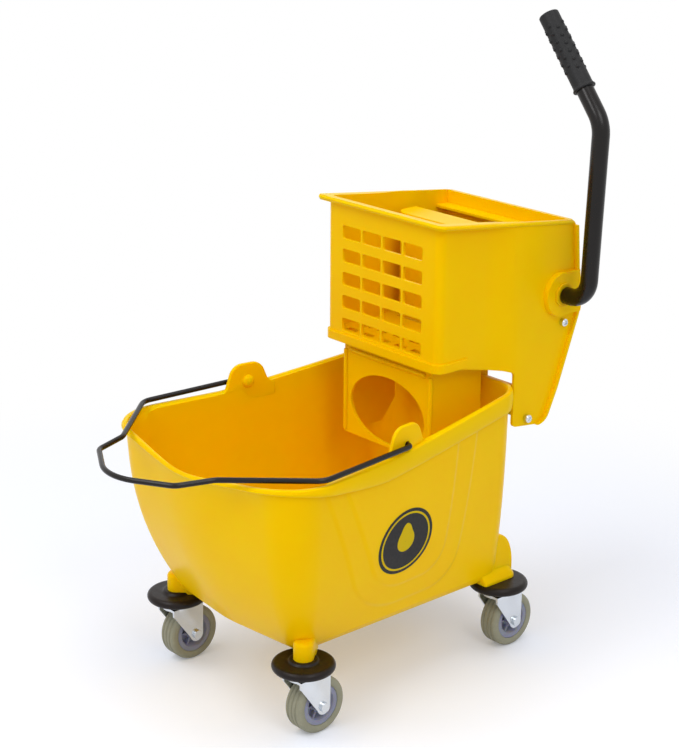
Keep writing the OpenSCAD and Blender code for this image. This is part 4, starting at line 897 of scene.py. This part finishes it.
def leverRoute():
    # along the shaft, up the leaning upright and over into the grip
    f = leverForm
    lean, tilt = math.radians(f["lean"]), math.radians(f["turn"] - f["lean"])
    top = f["total"] - (f["grip"] - f["gripEdge"]) * math.sin(tilt) - f["gripEdge"] + f["gripEdge"] * math.cos(tilt)
    elbow = np.array([f["upright"] + (f["upperHeight"] - shaft[1]) * math.tan(lean), f["upperHeight"]])
    gripTop = np.array([elbow[0] - (top - elbow[1]) * math.tan(tilt), top])
    along = np.array([-math.sin(tilt), math.cos(tilt)])
    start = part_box("shaft_cap")[0].x / mm + f["capIn"]
    flat = [(start, shaft[1]), (f["upright"], shaft[1]), elbow, gripTop - f["gripIn"] * along]
    route = bentRoute(flat, [0, f["bend"], f["upperBend"], 0], 24)
    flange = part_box("lever_bushing_right")[1].x / mm
    step = np.array([(flange + d, shaft[1]) for d in f["swell"]])  # the tube swells just outside its bushing
    radius = np.full(len(route) + len(step), f["outside"])
    radius[:4] = f["tube"], f["tube"], (f["tube"] + 2 * f["outside"]) / 3, f["outside"]
    return np.vstack([route[:1], step, route[1:]]), radius, gripTop, along


def inLeverPlane(flat):
    # a drawing of (right, up) stood in the upright plane of the shaft
    flat = np.asarray(flat)
    return np.column_stack([flat[:, 0], np.full(len(flat), shaft[0]), flat[:, 1]])


leverFlat, leverRadius, gripTop, gripAlong = leverRoute()
putPiece("leverTube", *sweptTube(inLeverPlane(leverFlat), leverRadius, 40, (0, 1, 0), leverForm["endRound"]),
         "lever", "black_tube", tubeEnamel, ("lever_tube",))

nubForm = {"columns": 8, "perColumn": 6, "pitch": 11.7, "first": 19.0, "radius": 2.7, "height": 1.9}


def gripSleeve():
    # a turned sleeve with a rolled lower lip, and columns of domed nubs set half a pitch apart
    f, n = leverForm, nubForm
    r, length, e, lip = f["grip"], f["gripLength"], f["gripEdge"], f["lip"]
    q = np.radians(np.linspace(0, 90, 7))
    inside, floor = f["tube"] + 0.05, length - f["bore"]
    rolled = [(inside, 0), (r + 0.4, 0), (r + lip - 0.6, 0.3), (r + lip, 1.2), (r + lip - 0.2, 2.6),
              (r + 0.5, 4.4), (r, 6.5)]
    crown = np.column_stack([r - e + e * np.cos(q), length - e + e * np.sin(q)])
    profile = np.vstack([rolled, crown, [(0.02, length), (0.02, floor), (inside, floor)]])
    parts = [turned(profile, 56)]
    a = np.linspace(0, 2 * np.pi, 10, endpoint=False)
    rise = np.radians([0, 35, 65])
    for c in range(n["columns"]):
        w = 2 * math.pi * (c + 0.35) / n["columns"]
        out, around = np.array([math.cos(w), math.sin(w), 0]), np.array([-math.sin(w), math.cos(w), 0])
        for k in range(n["perColumn"]):
            z = length - n["first"] - n["pitch"] * (k + 0.5 * (c % 2))
            base = out * (r - 0.15) + [0, 0, z]
            ring = np.cos(a)[:, None] * around + np.sin(a)[:, None] * [0, 0, 1]
            rings = [base + out * n["height"] * math.sin(h) + n["radius"] * math.cos(h) * ring for h in rise]
            parts.append(capped(rings))
    points, faces = joined(parts)
    x, y, z = points.T
    side = np.array([gripAlong[1], -gripAlong[0]])
    flat = gripTop + np.outer(z - length, gripAlong) + np.outer(x, side)
    return np.column_stack([flat[:, 0], shaft[0] + y, flat[:, 1]]), faces


putPiece("gripSleeve", *gripSleeve(), "lever", "grip_rubber", gripRubber, ("lever_grip",), 50)

springForm = {"wire": 1.5, "turns": 3.0, "leave": -40.0, "legUp": (50.0, 38, 25, 12), "endRound": 0.4}


def springRoute(side):
    # a straight leg down the rear wall, closed curls about the shaft, and a straight leg to the crank's peg
    f = springForm
    low, high = (np.array(v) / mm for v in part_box("return_spring_" + side))
    s = 1 if side == "right" else -1
    outX = (high[0] if s > 0 else -low[0]) - f["wire"]
    inX = (low[0] if s > 0 else -high[0]) + f["wire"]
    coil = high[1] - f["wire"] - shaft[0]
    a = np.radians(np.linspace(0, f["leave"] - 360 * f["turns"], 110))
    share = np.linspace(0, 1, len(a))[:, None]
    curls = np.column_stack([outX + (inX - outX) * share, shaft[0] + coil * np.cos(a), shaft[1] + coil * np.sin(a)])
    w = math.radians(f["leave"])
    away = np.array([0, math.sin(w), -math.cos(w)])
    leg = (curls[-1][2] - low[2] - f["wire"] * abs(away[1])) / -away[2]
    up = np.array([[outX, shaft[0] + coil, shaft[1] + h] for h in f["legUp"]])
    down = curls[-1] + np.outer(np.array([0.3, 0.6, 1.0]) * leg, away)
    return np.vstack([up, curls, down]) * [s, 1, 1], s * outX, s * inX


for side in sideNames:
    route, outX, inX = springRoute(side)
    points, faces = sweptTube(route, springForm["wire"], 12, (1, 0, 0), springForm["endRound"])
    spring = putPiece("returnSpring_" + side, points, faces,
                      None, "spring_steel", springSteel, ("return_spring_" + side,))
    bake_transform(spring, "wringer", "lever",
             (outX * mm, shaft[0] * mm, shaft[1] * mm), (inX * mm, shaft[0] * mm, shaft[1] * mm))
print("lever bent")


# Floor, light and camera

stageForm = {"floorHex": "#e7ebf6", "reach": 12.0, "fadeFrom": 0.55, "fadeTo": 1.2,  # floor in metres
             "skyLight": 0.58, "paperGlow": 0.19}


def seenDirectly(tree):
    # one for what the camera, gloss or glass looks at, nought for light that falls on things
    path = addNode(tree, "ShaderNodeLightPath").outputs
    seen = addNode(tree, "ShaderNodeMath", {0: path["Is Camera Ray"], 1: path["Is Glossy Ray"]}, operation="MAXIMUM")
    seenAll = addNode(tree, "ShaderNodeMath",
                      {0: seen.outputs[0], 1: path["Is Transmission Ray"]}, operation="MAXIMUM")
    return seenAll.outputs[0]


def paleFloor():
    # matt paper near the object, so it keeps the shadow, and plain white further out
    mesh = bpy.data.meshes.new("floor")
    r = stageForm["reach"]
    mesh.from_pydata([(-r, -r, 0), (r, -r, 0), (r, r, 0), (-r, r, 0)], [], [(0, 1, 2, 3)])
    floor = bpy.data.objects.new("floor", mesh)
    scene.collection.objects.link(floor)
    material = bpy.data.materials.new("pale matt paper")
    material.use_nodes = True
    tree = material.node_tree
    tree.nodes.clear()
    place = addNode(tree, "ShaderNodeTexCoord").outputs["Object"]
    away = addNode(tree, "ShaderNodeVectorMath", {0: place}, operation="LENGTH")
    reach = {0: away.outputs["Value"], 1: stageForm["fadeFrom"], 2: stageForm["fadeTo"]}
    fade = addNode(tree, "ShaderNodeMapRange", reach, interpolation_type="SMOOTHSTEP")
    seen = seenDirectly(tree)
    share = addNode(tree, "ShaderNodeMath", {0: fade.outputs[0], 1: seen}, operation="MULTIPLY")
    paper = addNode(tree, "ShaderNodeBsdfDiffuse", {"Color": linear(stageForm["floorHex"])})
    glow = addNode(tree, "ShaderNodeMath", {0: seen, 1: stageForm["paperGlow"]}, operation="MULTIPLY")
    lift = addNode(tree, "ShaderNodeEmission", {"Strength": glow.outputs[0]})
    lit = addNode(tree, "ShaderNodeAddShader", {0: paper.outputs[0], 1: lift.outputs[0]})
    white = addNode(tree, "ShaderNodeEmission", {"Strength": 1.0})
    mix = addNode(tree, "ShaderNodeMixShader", {0: share.outputs[0], 1: lit.outputs[0], 2: white.outputs[0]})
    addNode(tree, "ShaderNodeOutputMaterial", {"Surface": mix.outputs[0]})
    mesh.materials.append(material)


def whiteRoom():
    # white where the camera, gloss or glass looks, a soft even light elsewhere
    world = bpy.data.worlds.new("studio")
    scene.world = world
    world.use_nodes = True
    tree = world.node_tree
    tree.nodes.clear()
    seen = seenDirectly(tree)
    level = addNode(tree, "ShaderNodeMapRange", {0: seen, 3: stageForm["skyLight"], 4: 1.0})
    back = addNode(tree, "ShaderNodeBackground", {"Color": (1, 1, 1, 1), "Strength": level.outputs[0]})
    addNode(tree, "ShaderNodeOutputWorld", {"Surface": back.outputs[0]})


def softbox(name, place, aim, size, watts):
    # a rectangular lamp turned towards its aim
    lamp = bpy.data.lights.new(name, "AREA")
    lamp.shape, lamp.size, lamp.size_y, lamp.energy = "RECTANGLE", size[0], size[1], watts
    holder = bpy.data.objects.new(name, lamp)
    scene.collection.objects.link(holder)
    holder.location = place
    holder.rotation_euler = (Vector(aim) - Vector(place)).to_track_quat("-Z", "Y").to_euler()


lamps = {  # place, aim, size in metres, watts
    "keySoftbox": ((-0.7, -1.5, 3.0), (0, 0, 0.35), (1.3, 1.3), 20),
    "fillSoftbox": ((0.3, -2.2, 2.2), (0, 0.1, 0.35), (1.0, 1.0), 15),
    "topSoftbox": ((0.4, 0.3, 2.5), (0, 0.0, 0.3), (1.2, 1.2), 10),
    "sideSoftbox": ((2.1, -0.5, 2.2), (0, 0.05, 0.3), (1.0, 1.2), 15),
}
paleFloor()
whiteRoom()
for name, row in lamps.items():
    softbox(name, *row)

viewForm = {"eye": (1.71105, -1.46804, 1.16381), "aim": (0.0100, 0.01153, 0.41135), "roll": 0.0075,
            "focalPixels": 1835.58, "tallPixels": 748, "sensor": 36.0}


def photoCamera():
    # the photograph's viewing angle: the sensor size belongs to the long, upright side
    v = viewForm
    data = bpy.data.cameras.new("photoCamera")
    data.sensor_width = v["sensor"]
    data.lens = v["focalPixels"] / v["tallPixels"] * v["sensor"]
    data.clip_start, data.clip_end = 0.05, 60
    eye, aim = Vector(v["eye"]), Vector(v["aim"])
    ahead = (aim - eye).normalized()
    right = ahead.cross(Vector((0, 0, 1))).normalized()
    up = right.cross(ahead)
    c, s = math.cos(v["roll"]), math.sin(v["roll"])
    right, up = c * right + s * up, -s * right + c * up
    camera = bpy.data.objects.new("photoCamera", data)
    scene.collection.objects.link(camera)
    camera.matrix_world = Matrix([[right[i], up[i], -ahead[i], eye[i]] for i in range(3)] + [[0, 0, 0, 1]])
    scene.camera = camera


photoCamera()
scene.view_settings.view_transform = "Standard"
print("stage set")
